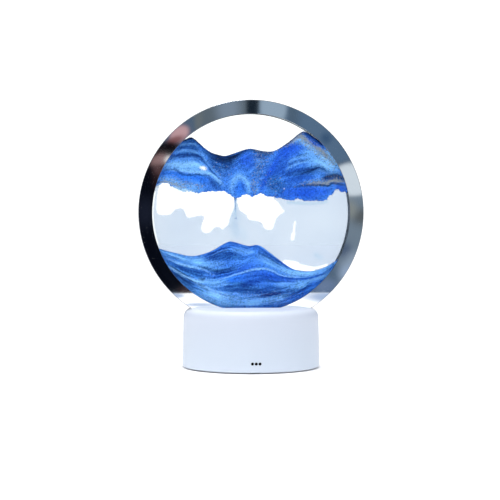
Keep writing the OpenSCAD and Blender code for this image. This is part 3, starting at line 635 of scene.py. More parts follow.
# Each stroke: colour, half width in mm, strength, share of dark grains, share of gold grains,
# and the points that it runs through. Later strokes lie over earlier ones.
UPPER_STROKES = [
    # the left mound's arching layers, from its crest down
    ("navy", 2.6, 0.9, 0.5, 0, [(-62, 53), (-56, 56), (-49, 57.6), (-43, 54.5), (-38, 50.5)]),
    ("black", 1.1, 1.0, 0.4, 0, [(-62, 54.5), (-56, 57.2), (-50, 59), (-46, 59.6), (-41, 55.4),
        (-35, 49.6)]),
    ("sky", 0.7, 0.7, 0.2, 0, [(-58, 53.4), (-50, 54.8), (-45, 54.4), (-41, 51)]),
    ("navy", 1.5, 0.95, 0.6, 0, [(-61, 50.8), (-52, 51.6), (-45, 51.8), (-40, 49.2), (-36, 45)]),
    ("sky", 1.0, 0.8, 0.1, 0, [(-63, 47.5), (-55, 49.3), (-47, 49), (-41, 47.5), (-37, 43),
        (-33, 39)]),
    ("navy", 1.6, 0.95, 0.6, 0, [(-67, 43), (-58, 45), (-50, 46.2), (-43, 45.6), (-38.5, 42.6),
        (-35, 38.5)]),
    ("blue", 1.0, 0.8, 0.4, 0, [(-66, 41), (-55, 42.8), (-46, 42.6), (-40, 40.4)]),
    ("sky", 4.0, 0.95, 0, 0, [(-73, 37), (-60, 38), (-48, 37.8), (-41, 36.5), (-36, 32)]),
    ("pale", 1.5, 0.85, 0, 0, [(-68, 38.5), (-56, 38), (-46, 38.8), (-39, 36.5)]),
    ("pale", 1.2, 0.8, 0, 0, [(-66, 34.8), (-54, 33.5), (-44, 32.8), (-34, 31.3), (-28, 28)]),
    # a painted highlight: a white glare on the sand
    ("white", 1.1, 1.0, 0, 0, [(-41.2, 36.1), (-38.4, 35.4), (-35.8, 34.4)]),
    ("vivid", 2.6, 0.95, 0.1, 0, [(-73, 31), (-64, 31.3), (-56, 29.3), (-48, 27.8), (-40, 27.3),
        (-34, 25.5)]),
    ("blue", 1.8, 0.6, 0.1, 0, [(-74, 29.5), (-66, 30), (-58, 27.5), (-50, 25.5)]),
    ("vivid", 1.8, 0.9, 0.1, 0, [(-46, 27.5), (-40, 27), (-35, 26.3)]),
    ("navy", 0.55, 0.85, 0.4, 0, [(-72, 34), (-65, 34.3), (-60.5, 34.3), (-57, 32), (-52, 30.3),
        (-47.5, 30.3), (-43, 30.8), (-38, 29.6), (-35, 30.2), (-32, 28.3)]),
    ("sky", 2.4, 0.75, 0.25, 0.5, [(-75, 25), (-68, 27), (-62, 25), (-55, 22.8), (-46, 21.6),
        (-38, 22)]),
    ("sky", 1.6, 0.7, 0, 0.1, [(-60, 19.5), (-52, 18.3), (-44, 18), (-36, 19)]),
    ("gold", 0.7, 0.8, 0.2, 0.8, [(-74, 23.5), (-69, 25.3), (-64.5, 24), (-58, 21.3), (-52, 20.3)]),
    ("navy", 3.0, 0.7, 0.6, 0, [(-32.5, 26), (-28, 23), (-24, 20)]),
    # the slope between the mound and the middle
    ("blue", 2.6, 0.9, 0.15, 0, [(-43, 54), (-38, 47.5), (-34, 41.5), (-29.5, 35), (-25, 29.5),
        (-20, 22)]),
    ("sky", 0.9, 0.8, 0, 0, [(-40.5, 49), (-36.5, 42), (-32, 36.5), (-27.5, 32), (-22.5, 25.5)]),
    ("navy", 0.45, 0.9, 0.2, 0, [(-46, 43), (-41, 42.3), (-37, 39.5), (-33, 34.5), (-29.5, 31),
        (-25, 26.5)]),
    ("pale", 0.7, 0.9, 0, 0, [(-35.5, 33.5), (-31, 30), (-26, 25.8), (-21.5, 21)]),
    ("sky", 0.6, 0.8, 0, 0, [(-33, 30.3), (-28, 26), (-23, 21)]),
    # the dark valley and what has run down from it
    ("navy", 4.2, 0.85, 0.8, 0.05, [(-34, 45), (-27, 40), (-20, 38.8), (-13, 41)]),
    ("black", 2.8, 1.0, 0.5, 0, [(-38, 49.5), (-32, 46.4), (-25, 44.2), (-18, 43.6), (-11, 45.8),
        (-4, 49.6)]),
    ("steel", 4.0, 0.45, 0.7, 0.15, [(-28, 36), (-22, 32), (-16, 34)]),
    ("black", 1.1, 0.9, 0.5, 0, [(-11, 47.4), (-5, 50), (0, 50.6), (5, 49.8)]),
    # the middle: a royal cloud over a deep plug in a pale arch
    ("royal", 5.0, 0.8, 0.35, 0, [(-9, 44), (-4, 41.5), (-5, 36)]),
    ("blue", 3.6, 0.6, 0.4, 0, [(-17, 35), (-10, 32.5), (-3, 32)]),
    ("steel", 4.6, 0.75, 0.6, 0.25, [(3, 45), (8, 39), (9, 31), (8, 23)]),
    ("blue", 2.6, 0.7, 0.1, 0, [(-23, 19.5), (-20, 25), (-16, 29.5)]),
    ("sky", 2.4, 0.7, 0, 0, [(-15, 12.5), (-15.5, 19), (-13.5, 25.5), (-9, 29), (-4.5, 26),
        (-2.5, 20), (-2, 14)]),
    ("pale", 0.8, 0.35, 0, 0, [(-15.8, 18), (-14, 26), (-9, 29.7), (-4.3, 26.8), (-2.2, 20),
        (-1.8, 15)]),
    ("vivid", 2.5, 0.95, 0, 0, [(-9, 24.3), (-8.7, 19), (-9, 13)]),
    ("deep", 0.8, 0.7, 0.1, 0, [(-8.4, 25.3), (-6.4, 22), (-6, 17)]),
    ("steel", 2.6, 0.5, 0.5, 0.3, [(0, 31), (4, 31.5), (8, 28.5)]),
    ("steel", 1.6, 0.7, 0.4, 0.6, [(1.2, 27), (2.4, 21), (3, 15)]),
    ("sky", 1.2, 0.5, 0, 0, [(5.5, 24), (5, 16)]),
    ("black", 1.6, 1.0, 0.4, 0.4, [(2, 49.6), (9, 47.9), (14, 47.6), (18, 48.8)]),
    ("navy", 2.2, 0.45, 0.7, 0.2, [(4, 46), (10, 44.8), (15, 45)]),
    # the right mound: pale and royal bands that run down to the middle
    ("blue", 2.4, 0.8, 0.35, 0, [(22, 50.5), (16.5, 42), (11, 34), (7.5, 27), (5, 19)]),
    ("deep", 3.8, 0.8, 0.3, 0, [(27, 45), (22, 36), (17, 28)]),
    ("royal", 3.8, 0.95, 0.1, 0, [(26, 51), (31, 50.6), (39, 51)]),
    ("royal", 3.4, 0.85, 0.15, 0, [(25, 46.5), (31, 46)]),
    ("royal", 2.0, 0.95, 0.1, 0, [(28, 50.5), (23.5, 46.5), (19.5, 40), (15.5, 33.5), (12, 27.5),
        (9, 21), (7.5, 16)]),
    ("sky", 6.5, 0.9, 0, 0, [(42, 50), (50, 44.5), (58, 38), (69, 32)]),
    ("sky", 3.0, 0.9, 0, 0.1, [(56, 44), (64, 38), (72, 32)]),
    ("pale", 2.4, 0.5, 0, 0, [(52, 44), (60, 39), (66, 36)]),
    ("deep", 4.2, 0.65, 0.5, 0, [(24, 34), (33, 32), (43, 33.5)]),
    ("teal", 5.5, 0.85, 0.5, 0.1, [(13, 28), (20, 22), (27, 17)]),
    ("sky", 1.0, 0.85, 0.1, 0, [(28, 33.5), (33, 38), (40, 41), (48, 42.5)]),
    ("sky", 0.9, 0.8, 0.1, 0, [(29, 39), (34, 43), (42, 45.5), (50, 47)]),
    ("navy", 0.9, 0.65, 0.6, 0, [(29.5, 36.8), (34, 40), (41, 41.8), (47, 43.5)]),
    ("navy", 0.7, 0.5, 0.5, 0, [(35, 44.5), (42, 46.3), (48, 47.5)]),
    ("blue", 2.2, 0.7, 0.5, 0, [(30, 28), (40, 29.5), (52, 31.5), (62, 30)]),
    ("navy", 2.2, 0.85, 0.6, 0, [(28, 31), (42, 33), (54, 35.6), (62, 32.5)]),
    ("black", 0.6, 0.9, 0.3, 0, [(35, 30.3), (42, 31.6), (48, 33.8), (55, 36.6)]),
    ("deep", 2.2, 0.8, 0.3, 0, [(26, 26.5), (38, 27.5), (52, 29)]),
    ("steel", 1.5, 0.9, 0.7, 0.5, [(37, 22.6), (45, 24), (52, 25.3), (60, 25), (66, 26),
        (75, 26.5)]),
    ("navy", 3.0, 0.85, 0.7, 0.15, [(55, 27), (64, 28.5), (75, 26)]),
    ("black", 1.3, 1.0, 0.5, 0.3, [(58, 27.6), (65, 29.6), (70, 29), (76, 26.5)]),
    ("gold", 1.1, 1.0, 0.2, 0.9, [(44, 22.6), (52, 23.6), (60, 23.6), (65, 25.6), (70, 25.4),
        (76, 24.5)]),
    ("royal", 4.6, 0.98, 0.2, 0, [(24, 14.5), (28, 15.5), (40, 16.3), (50, 16.4), (58, 16.8),
        (64, 19)]),
    ("royal", 2.2, 0.9, 0.1, 0, [(68, 21), (77, 18)]),
    ("black", 0.7, 0.85, 0.4, 0.1, [(33, 20.2), (42, 21.6), (50, 22.4), (58, 22.1), (62, 21.6),
        (66, 23.5), (75, 22.4)]),
    # strata along its outer slope
    ("sky", 1.6, 0.9, 0, 0, [(33, 56), (41, 58.2), (47, 55), (54, 50)]),
    ("steel", 1.2, 0.8, 0.1, 0.7, [(32, 53.4), (41, 55.6), (46, 53.2), (50, 50.5), (54, 47),
        (62, 42.5)]),
    ("gold", 1.9, 1.0, 0.3, 1, [(28, 53), (33, 57), (39, 61.4), (46, 57.4), (52, 53), (58, 48),
        (64, 43), (68, 38)]),
    ("pale", 1.6, 0.6, 0.2, 0.4, [(38, 58.5), (45, 54), (52, 49), (60, 43), (66, 36)]),
    ("royal", 2.2, 0.8, 0.2, 0, [(20, 44), (26, 50), (34, 53), (42, 51)]),
    ("royal", 3.0, 1.0, 0.3, 0, [(44, 62.5), (50, 58.8), (57, 53.6)]),
    ("navy", 1.7, 1.0, 0.5, 0, [(42, 64.3), (49, 60.6), (57, 55.2)]),
    ("black", 0.9, 0.9, 0.4, 0, [(44, 64.5), (51, 60), (58, 54)]),
    ("pale", 1.8, 0.8, 0, 0, [(60, 50), (66, 43.5), (71, 36)]),
    ("black", 0.7, 0.9, 0.3, 0.2, [(17, 49.2), (24, 52.2), (31, 57.4), (38, 62.8), (43, 64.8)]),
    ("mist", 1.3, 0.9, 0.3, 0, [(-66, 21.4), (-60, 19), (-54, 17.6), (-46, 17.4)]),
    ("mist", 0.8, 0.7, 0.3, 0, [(-76, 21), (-71, 23.5), (-66, 22.5)]),
    # a painted highlight: a small white glint on the sand
    ("white", 0.45, 1.0, 0, 0, [(26.4, 19.2), (26.8, 19.2)]),
]

LOWER_STROKES = [
    # broad tones first
    ("sky", 3.2, 0.8, 0, 0, [(-74, -30), (-63, -34), (-54, -37), (-45, -37), (-37, -35.5)]),
    ("blue", 3.5, 0.8, 0.2, 0, [(-30, -31), (-20, -27.5), (-10, -28), (2, -29)]),
    ("sky", 2.0, 0.7, 0, 0, [(-16, -29), (-8, -30.5), (2, -31)]),
    ("teal", 2.8, 0.8, 0.5, 0, [(-34, -37), (-27, -35.5), (-20, -34), (-13, -34.5), (-7, -37)]),
    ("sky", 2.7, 0.95, 0, 0, [(-52, -39.5), (-41, -40.3), (-31, -41.3), (-21, -40)]),
    ("blue", 3.2, 0.7, 0.35, 0, [(-16, -40.5), (-6, -42), (4, -43)]),
    ("teal", 3.4, 0.75, 0.6, 0, [(-66, -38), (-56, -43.5), (-46, -48), (-36, -50)]),
    ("deep", 2.6, 0.7, 0.4, 0, [(-34, -51), (-24, -50), (-14, -47.5)]),
    ("vivid", 3.0, 0.9, 0.1, 0, [(-30, -54), (-12, -52.5), (0, -51)]),
    ("sky", 3.0, 0.95, 0, 0, [(-44, -54.5), (-31, -56.5), (-18, -56)]),
    ("sky", 3.6, 0.95, 0, 0, [(-42, -60), (-30, -64.5), (-17, -68), (-4, -70), (10, -71),
        (22, -70)]),
    ("pale", 1.8, 0.7, 0, 0, [(-34, -63), (-22, -66.8), (-10, -69)]),
    ("navy", 2.4, 0.75, 0.7, 0, [(-64, -46.5), (-54, -54.5), (-44, -61.5)]),
    ("sky", 4.2, 0.95, 0.05, 0, [(-47, -62), (-36, -67.5), (-24, -72), (-8, -73), (8, -72.5)]),
    ("deep", 0.7, 0.7, 0.2, 0, [(-26, -74.6), (-10, -74.8), (8, -74.8), (24, -74.4)]),
    ("navy", 3.6, 0.8, 0.7, 0, [(-22, -60.5), (-10, -60), (0, -61.5), (8, -62)]),
    ("deep", 3.6, 0.8, 0.3, 0, [(-8, -55), (4, -52), (14, -51.5), (24, -54)]),
    ("royal", 2.6, 0.7, 0.1, 0, [(-12, -46.5), (-2, -43), (6, -42.5)]),
    ("blue", 3.4, 0.75, 0.1, 0, [(0, -36), (9, -40.5), (18, -45)]),
    ("sky", 2.6, 0.95, 0, 0, [(4, -33.5), (13, -38), (21, -42.6), (28, -46.4), (36, -48.6),
        (46, -49), (54, -47.2), (64, -41.5), (70, -37)]),
    ("pale", 1.2, 0.7, 0, 0, [(24, -45), (33, -48.5), (44, -49.5), (54, -47.8)]),
    ("sky", 3.8, 1.0, 0, 0, [(20, -58.5), (34, -57.5), (46, -55), (56, -51), (64, -45.5)]),
    ("blue", 2.2, 0.8, 0.1, 0, [(30, -69), (41, -63), (49, -58), (57, -54.5)]),
    ("sky", 2.4, 0.8, 0.1, 0, [(12, -71.5), (24, -68.5), (34, -65.5)]),
    ("vivid", 2.4, 0.8, 0.1, 0, [(26, -71), (38, -66), (48, -59.5), (56, -54)]),
    ("navy", 2.4, 0.7, 0.85, 0, [(18, -66.5), (30, -65.5), (40, -62.5), (48, -57.5)]),
    ("navy", 3.0, 0.55, 0.8, 0, [(0, -64), (12, -63), (24, -61)]),
    # folds: a dark lee of dark grains beside a thin bright crest line; the lee's dark is partly
    # painted shade, and the crest line is a painted highlight of the fold
    ("teal", 0.7, 0.75, 0.4, 0, [(-68, -33.2), (-60, -36.5), (-52, -39.6)]),
    ("pale", 0.5, 0.9, 0, 0, [(-67, -32.3), (-59, -35.8), (-51, -38.6)]),
    ("pale", 0.6, 0.7, 0, 0, [(-70, -35), (-56.5, -40.7), (-49.5, -42.6), (-42.5, -43.8),
        (-38, -45.2), (-33.5, -48), (-29, -49.8)]),
    ("black", 1.0, 0.85, 0.5, 0, [(-42, -42.6), (-36, -44.4), (-31.5, -45.6), (-27, -46),
        (-20, -45), (-14, -43.6)]),
    ("navy", 0.8, 0.8, 0.6, 0, [(-30, -47.5), (-22, -47), (-13, -45)]),
    ("black", 0.6, 0.9, 0.2, 0, [(-67, -40.7), (-59.5, -45.3), (-53, -49.4), (-48.5, -51.9)]),
    ("pale", 0.7, 0.95, 0, 0, [(-67.5, -41.8), (-61, -45.9), (-54, -50), (-47.5, -52.8),
        (-40.5, -54.6), (-33, -55)]),
    ("black", 0.8, 0.8, 0.5, 0, [(-42, -52.6), (-39, -52.7), (-36, -53)]),
    ("black", 0.7, 0.85, 0.4, 0, [(-61, -48.3), (-54, -53), (-47.5, -57.6)]),
    ("navy", 0.8, 0.8, 0.7, 0, [(-50, -53), (-43, -57), (-37, -60.5), (-32.5, -63)]),
    ("pale", 0.7, 0.9, 0, 0, [(-49, -52.6), (-41, -57.2), (-34, -60.6), (-27, -63.6), (-18, -65)]),
    ("navy", 0.5, 0.7, 0.5, 0, [(-34, -35.5), (-27, -32.5), (-20, -30.5)]),
    ("pale", 0.45, 0.4, 0, 0, [(-32, -34.6), (-25, -31.2), (-18, -29)]),
    ("pale", 0.55, 0.95, 0, 0, [(-27, -53.7), (-17.5, -51), (-8.5, -48.3), (-1, -45.8),
        (5.5, -45), (12, -45), (18, -47.2), (23, -49.7), (31, -51.3), (40, -52)]),
    ("deep", 0.6, 0.85, 0.2, 0, [(-18, -52.2), (-8.5, -49.6), (-1, -47.2), (5.5, -46.4),
        (12, -46.5)]),
    ("royal", 2.2, 0.8, 0.2, 0, [(2, -48.5), (10, -48.8), (18, -51.4), (27, -54), (36, -55)]),
    ("deep", 0.8, 0.95, 0.2, 0, [(10.5, -46.6), (16, -48.2), (23, -51), (31, -52.6), (41, -53.3),
        (51, -51.4), (59, -48.2), (67, -42.5)]),
    ("navy", 0.9, 0.75, 0.6, 0, [(5.5, -32), (10.5, -34.2), (15.5, -36.8), (19.6, -39.3),
        (24, -42)]),
    ("pale", 0.4, 0.8, 0, 0, [(11, -29.6), (18, -34.4), (24, -38.6)]),
    ("deep", 0.8, 0.9, 0.2, 0, [(5, -26.4), (13, -31.8), (25.7, -41), (34.3, -46.4)]),
    ("navy", 0.6, 0.8, 0.3, 0, [(9, -53), (18, -55.3), (26, -55.4)]),
    ("navy", 0.6, 0.8, 0.4, 0, [(-2, -67.8), (10.5, -66.2), (18, -64.5), (26, -62.8)]),
    ("pale", 0.4, 0.25, 0, 0, [(0, -66.5), (11, -64.8), (19, -62.8), (27, -60.8)]),
    ("navy", 0.5, 0.7, 0.4, 0, [(12, -68.3), (20, -66.6), (27, -65)]),
]

# Groups of thin parallel lines: colour, half width of the group, spacing, strength, share of dark
# grains, and the points that they follow
UPPER_COMBS = [
    ("navy", 3.0, 2.5, 0.55, 0.6, [(-65, 43.5), (-55, 46.5), (-46, 47.5), (-38, 42)]),
    ("navy", 2.6, 2.2, 0.5, 0.6, [(-61, 51.5), (-53, 52.6), (-45, 52.6), (-38, 47)]),
    ("sky", 3.0, 2.5, 0.5, 0.1, [(-66, 36), (-54, 35.6), (-44, 35.2), (-34, 31)]),
    ("deep", 4.5, 2.8, 0.5, 0.5, [(26, 29.5), (33, 35.5), (42, 39.5), (51, 42)]),
    ("navy", 3.5, 2.5, 0.5, 0.5, [(28, 29), (40, 31), (52, 33.5), (62, 32)]),
    ("steel", 2.5, 2.4, 0.5, 0.4, [(34, 54), (42, 57), (50, 51.5), (58, 45.5)]),
]
LOWER_COMBS = [
    ("navy", 4.0, 2.2, 0.8, 0.8, [(8, -70), (20, -67.5), (32, -65), (43, -60.5), (50, -56)]),
    ("navy", 4.4, 2.2, 0.9, 0.6, [(-38, -36.6), (-31, -34.6), (-25, -32), (-17, -30), (-9, -33)]),
    ("deep", 3.4, 2.2, 0.6, 0.5, [(-24, -28.5), (-17, -26), (-10, -27.5), (0, -29)]),
    ("navy", 2.4, 2.0, 0.8, 0.6, [(-30, -48.6), (-20, -47.3), (-12, -44.5), (-6, -40)]),
    ("deep", 3.2, 2.2, 0.6, 0.4, [(-68, -34), (-58, -38.4), (-48, -41.6)]),
    ("navy", 3.6, 2.0, 0.9, 0.5, [(-64, -46), (-54, -53), (-43, -58.5), (-33, -62.5)]),
    ("teal", 3.0, 2.0, 0.7, 0.6, [(-62, -51), (-54, -58.5), (-45, -66), (-36, -71)]),
    ("navy", 3.4, 2.2, 0.6, 0.6, [(-58, -42.5), (-48, -46.5), (-38, -49.5)]),
    ("navy", 2.8, 2.2, 0.8, 0.3, [(4, -28.5), (14, -33.8), (22, -39.2), (31, -45)]),
    ("navy", 2.8, 2.1, 0.85, 0.6, [(2, -66.5), (14, -65.2), (24, -63), (38, -59)]),
    ("navy", 2.4, 2.4, 0.6, 0.4, [(4, -49), (16, -52), (30, -55)]),
    ("navy", 4.4, 2.4, 0.55, 0.7, [(-22, -58), (-8, -59.5), (6, -61)]),
    ("royal", 2.6, 2.2, 0.6, 0.2, [(24, -70), (38, -65), (48, -59.5), (58, -53)]),
    ("blue", 3.4, 2.5, 0.6, 0.1, [(-40, -58), (-28, -63.5), (-14, -67.5), (4, -70)]),
]

# Lines that the sand has flowed along, from the top down, for its fine striations
UPPER_FLOW = [
    [(-82, 50), (-58, 57), (-47, 59.5), (-38, 51), (-29, 44.5), (-19, 42), (-9, 46.5), (0, 50),
        (9, 48), (18, 49), (28, 55), (38, 63), (44, 64), (60, 52), (82, 36)],
    [(-82, 43), (-60, 47), (-45, 48), (-38, 44), (-30, 36), (-22, 29), (-14, 31), (-9, 34),
        (-3, 32), (5, 38), (12, 39), (22, 42), (34, 50), (44, 52), (60, 43), (82, 33)],
    [(-82, 36), (-60, 38), (-45, 38.5), (-36, 33), (-28, 27), (-20, 22), (-14, 26), (-9, 29),
        (-4, 26), (3, 27), (10, 28), (20, 32), (32, 39), (44, 42), (60, 37), (82, 29)],
    [(-82, 32), (-60, 34), (-45, 30.5), (-33, 28), (-26, 22), (-20, 18), (-13, 20), (-9, 23),
        (-5, 20), (2, 20), (10, 21), (22, 26), (34, 30), (48, 34), (62, 31), (82, 27)],
    [(-82, 24), (-60, 20), (-45, 15), (-30, 15), (-20, 12), (0, 12), (12, 12), (25, 10), (40, 8),
        (60, 9), (82, 15)],
]

LOWER_FLOW = [
    [(-82, -25), (-72, -28.5), (-58, -32.3), (-46, -34.5), (-33, -31), (-21, -24.6), (-5, -25.9),
        (5, -25.4), (25, -39.9), (36, -45.8), (48, -46.9), (59, -44.2), (69, -38.5), (82, -30)],
    [(-82, -29), (-72, -34), (-56, -40.6), (-43, -43.8), (-31, -46.4), (-20, -45.4), (-8, -42.5),
        (5, -40), (13, -41.5), (21, -45), (31, -49.4), (46, -51), (59, -46.5), (70, -39.5),
        (82, -31)],
    [(-82, -34), (-70, -40), (-61, -46), (-47, -52.8), (-31, -55.4), (-18, -51.2), (-1, -46),
        (12, -45.4), (23, -50.4), (41, -53.2), (59, -48.4), (70, -41), (82, -32)],
    [(-82, -38), (-66, -47), (-54, -53.5), (-43, -57.5), (-27, -63.5), (-10, -66.4), (10, -67),
        (26, -63.4), (41, -58), (57, -53), (70, -43), (82, -34)],
    [(-82, -46), (-66, -56), (-50, -66), (-25, -77), (0, -82), (25, -79), (50, -66), (66, -52),
        (82, -40)],
]


def wobbled(value, x, z, seed):
    """A coordinate with a slow and a fine wobble, in mm, so that no stroke runs quite smooth."""
    return value + 0.35 * ripple(x, z, 6, seed) + 0.3 * ripple(x, z, 0.9, seed + 1)


class Paint:
    """Colour and grain shares of a sand layer, over a grid."""

    def __init__(self, x, z, seed):
        self.x = wobbled(x, x, z, seed)
        self.z = wobbled(z, x, z, seed + 2)
        self.colour = np.ones((*x.shape, 3)) * SAND[GROUND_COLOUR]
        self.dark = np.full(x.shape, GROUND_DARK)
        self.gold = np.zeros(x.shape)
        self.seed = seed

    def near(self, points, reach):
        """The grid's points in the box round these points, with that reach to spare."""
        low, high = np.min(points, 0) - reach, np.max(points, 0) + reach
        return (self.x > low[0]) & (self.x < high[0]) & (self.z > low[1]) & (self.z < high[1])

    def follow(self, points, reach):
        """The grid's points near this line, and for each its distance from the line, how far
        along the line it lies in mm, its side, and 0 to 1 for how near the line's ends are."""
        near = self.near(points, reach)
        away, along, side = distance_along(self.x[near], self.z[near], points)
        taper = np.sin(math.pi * np.clip(along, 0.001, 0.999)) ** 0.5
        length = np.hypot(*np.diff(points, axis=0).T).sum()
        return near, away, along * length, side, taper

    def lay(self, near, share, colour, dark, gold):
        """Lays a colour and its grains over what is there, by share."""
        self.colour[near] += share[:, None] * (SAND[colour] - self.colour[near])
        self.dark[near] += share * (0.1 + 0.9 * dark - self.dark[near])
        self.gold[near] += share * (gold - self.gold[near])

    def stroke(self, colour, width, strength, dark, gold, points):
        """A soft band of sand that follows the points and thins out at both ends."""
        near, away, along, side, taper = self.follow(points, 2.2 * width + 1)
        local = width * (0.35 + 0.65 * taper) + 0.12
        share = strength * (0.25 + 0.75 * taper) * np.exp(-0.7 * (away / local) ** 2.2)
        lines = ripple(along / 9, side * away / 0.55, 1.0, self.seed + 8)
        share = np.clip(share * (1 + (0.12 + 0.5 * dark) * lines), 0, 1)
        self.lay(near, share, colour, dark, gold)

    def comb(self, colour, half, spacing, strength, dark, points):
        """Thin parallel lines along the points, within half of them to each side."""
        near, away, along, side, taper = self.follow(points, half + 1)
        offset = side * away
        bend = 0.45 * ripple(along / 8, offset / 3, 1.0, self.seed + 9)
        wave = 0.5 + 0.5 * np.cos(2 * math.pi * (offset / spacing + bend))
        breaks = 0.75 + 0.6 * ripple(along / 4, offset / spacing, 1.0, self.seed + 10)
        edge = smoothstep(half, 0.5 * half, away)
        share = strength * taper * edge * smoothstep(0.3, 0.9, wave) * np.clip(breaks, 0, 1)
        self.lay(near, share, colour, dark, 0)

    def streak(self, along, across, amount):
        """Fine lines of darker and paler sand. along and across are coordinates of the flow."""
        fine = ripple(along, across, 1.0, self.seed + 5)
        finer = 0.6 * ripple(along * 2.3, across * 2.1, 1.0, self.seed + 6)
        strength = amount * (0.35 + 1.1 * self.dark) * (fine + finer)
        self.colour *= np.exp(strength)[..., None] ** np.array([1.3, 1.0, 0.55])
        self.dark = np.clip(self.dark - 0.5 * strength, 0, 1)


def flow_height(x, z, guides):
    """0 on the first guide line, 1 on the next and so on, and between them by share."""
    heights = []
    for guide in guides:
        line = curve_through(guide, 8)
        heights.append(np.interp(x, line[:, 0], line[:, 1]))
    found = np.zeros(x.shape)
    for k in range(len(heights) - 1):
        gap = np.maximum(heights[k] - heights[k + 1], 0.2)
        found += np.clip((heights[k] - z) / gap, 0, 1)
    return found


def sand_material(name):
    """Loose wet grains: each Voronoi cell is one grain, tinted by the layer that it lies in.
    Dark and gold grains lie in clumps, and one grain in twenty carries a painted glint."""
    mat, make = new_material(name, Specular_IOR_Level=0.06)
    tint = make.node("Attribute", attribute_name="tint").outputs["Color"]
    dark = make.node("Attribute", attribute_name="dark").outputs["Fac"]
    gold = make.node("Attribute", attribute_name="gold").outputs["Fac"]
    grain = make.node("TexVoronoi", {"Vector": make.place(), "Scale": GRAIN_SCALE})
    lots = make.node("SeparateColor", {0: grain.outputs["Color"]}).outputs
    noise = {"Vector": make.place(), "Scale": CLUMP_WANDER_SCALE}
    wander = make.node("TexNoise", noise).outputs["Color"]
    shifted = make.node("VectorMath", {0: wander, 1: (CLUMP_WANDER,) * 3, 2: make.place()},
                        operation="MULTIPLY_ADD").outputs[0]
    clumps = make.node("TexVoronoi", {"Vector": shifted, "Scale": CLUMP_SCALE})
    clump = make.node("SeparateColor", {0: clumps.outputs["Color"]}).outputs
    bright = make.maths("MULTIPLY_ADD", lots[0], 0.26, 0.72)
    bright = make.maths("MULTIPLY_ADD", clump[2], 0.36, bright)
    body = make.blend(1.0, tint, bright, "MULTIPLY")
    deeper = make.blend(1.0, body, (0.22, 0.36, 0.52), "MULTIPLY")
    in_clump = make.maths("LESS_THAN", clump[0], make.maths("MULTIPLY", dark, 0.8))
    chance = make.maths("MULTIPLY_ADD", in_clump, 0.72, make.maths("MULTIPLY", dark, 0.14))
    is_dark = make.maths("LESS_THAN", lots[1], chance)
    body = make.blend(make.maths("MULTIPLY", is_dark, 0.85), body, deeper)
    in_gold = make.maths("LESS_THAN", clump[1], make.maths("MULTIPLY", gold, 0.85))
    chance = make.maths("MULTIPLY_ADD", in_gold, 0.7, make.maths("MULTIPLY", gold, 0.15))
    is_gold = make.maths("LESS_THAN", lots[2], chance)
    body = make.blend(make.maths("MULTIPLY", is_gold, 0.75), body, srgb("9A9E9E"))
    # painted glints: one grain in twenty is brightened, as if it caught the light
    glint = make.blend(1.0, body, (1.5, 1.4, 1.2), "MULTIPLY")
    is_glint = make.maths("GREATER_THAN", lots[2], 0.95)
    body = make.blend(is_glint, body, glint)
    make.colour(body)
    make.rough(make.remap(lots[0], 0.0, 1.0, 0.65, 0.95))
    make.normal(make.bump(grain.outputs["Distance"], -0.3, 0.0001))
    return mat


def sand_field(x, z, edges):
    """Distance in mm to the layer's free edges, positive inside it. The cell's wall isn't one."""
    free = edges[np.hypot(edges[..., 0], edges[..., 1]).min(1) < CELL_R - 0.2]
    field = np.sign(signed_distance(x, z, edges)) * distance(x, z, free)
    outside = np.hypot(x, z) > CELL_R - 0.3
    return np.where(outside, distance(x, z, free), field)


def ragged_underside(x, z, amount, seed):
    """How much the lower part of the upper layer hangs out or is worn away, in mm."""
    low = smoothstep(33, 27, z)
    drips = ripple(x, z, 1.7, seed + 20) + ripple(x, z, 0.8, seed + 21)
    return low * amount * drips


def painted(x, z, strokes, combs, flow, streaks, seed):
    """The layer's paint. streaks is the length of its fine striations in mm, how many there are
    from one guide line to the next, and their strength."""
    paint = Paint(x, z, seed)
    for stroke in strokes:
        paint.stroke(*stroke)
    for comb in combs:
        paint.comb(*comb)
    length, count, strength = streaks
    height = flow_height(paint.x, paint.z, flow)
    paint.streak(x / length, height * count, strength)
    return paint


def sand_layer(node, name, field, x, z, paint, seed):
    """Replaces a CAD sand solid with a painted layer, thick in the middle and round at its rim."""
    bulge = np.clip(field / SAND_ROUND, 0, 1)
    field = np.minimum(field, CELL_R - SAND_WALL_GAP - np.hypot(x, z))
    grainy = SAND_RELIEF * ripple(x, z, 0.8, seed + 30)
    half = SAND_RIM + SAND_SWELL * rounded(bulge) + grainy * bulge
    half = np.minimum(half, CELL_HALF - SAND_PANE_GAP)
    thing, used = sheet_between_panes(name, x, z, field, half)
    give(thing, used, "tint", np.clip(paint.colour, 0, 1))
    give(thing, used, "dark", paint.dark)
    give(thing, used, "gold", paint.gold)
    thing.data.materials.append(sand_material(name + "_grains"))
    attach(thing, "disc")
    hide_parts(node)


def upper_sand():
    seed = 11
    edges = outline("upper_sand")
    x, z = grid(edges, SAND_STEP)
    field = sand_field(x, z, edges)
    field = field + ragged_underside(x, z, 0.5, seed)
    paint = painted(x, z, UPPER_STROKES, UPPER_COMBS, UPPER_FLOW, (9, 6, 0.3), seed)
    sand_layer("upper_sand", "sand_upper", field, x, z, paint, seed)


def lower_sand():
    seed = 41
    edges = outline("lower_sand")
    x, z = grid(edges, SAND_STEP)
    field = sand_field(x, z, edges)
    paint = painted(x, z, LOWER_STROKES, LOWER_COMBS, LOWER_FLOW, (14, 9, 0.62), seed)
    sand_layer("lower_sand", "sand_lower", field, x, z, paint, seed)


# ---------------------------------------------------------------- liquid

# Painted glare in the liquid, where it is cleared to pale: half width, strength, points
LIQUID_GLINTS = [
    (3.4, 1.0, [(28, -41.2), (36, -42.5)]),
    (2.4, 1.0, [(36, -43), (42, -44.2), (49, -45.6)]),
    (0.9, 1.0, [(48, -44.4), (54, -44), (61, -42)]),
    (0.8, 0.9, [(35.4, -7.5), (34.6, -14), (33.9, -21)]),
    (1.4, 0.95, [(34.0, -17), (33.4, -20.8)]),
]
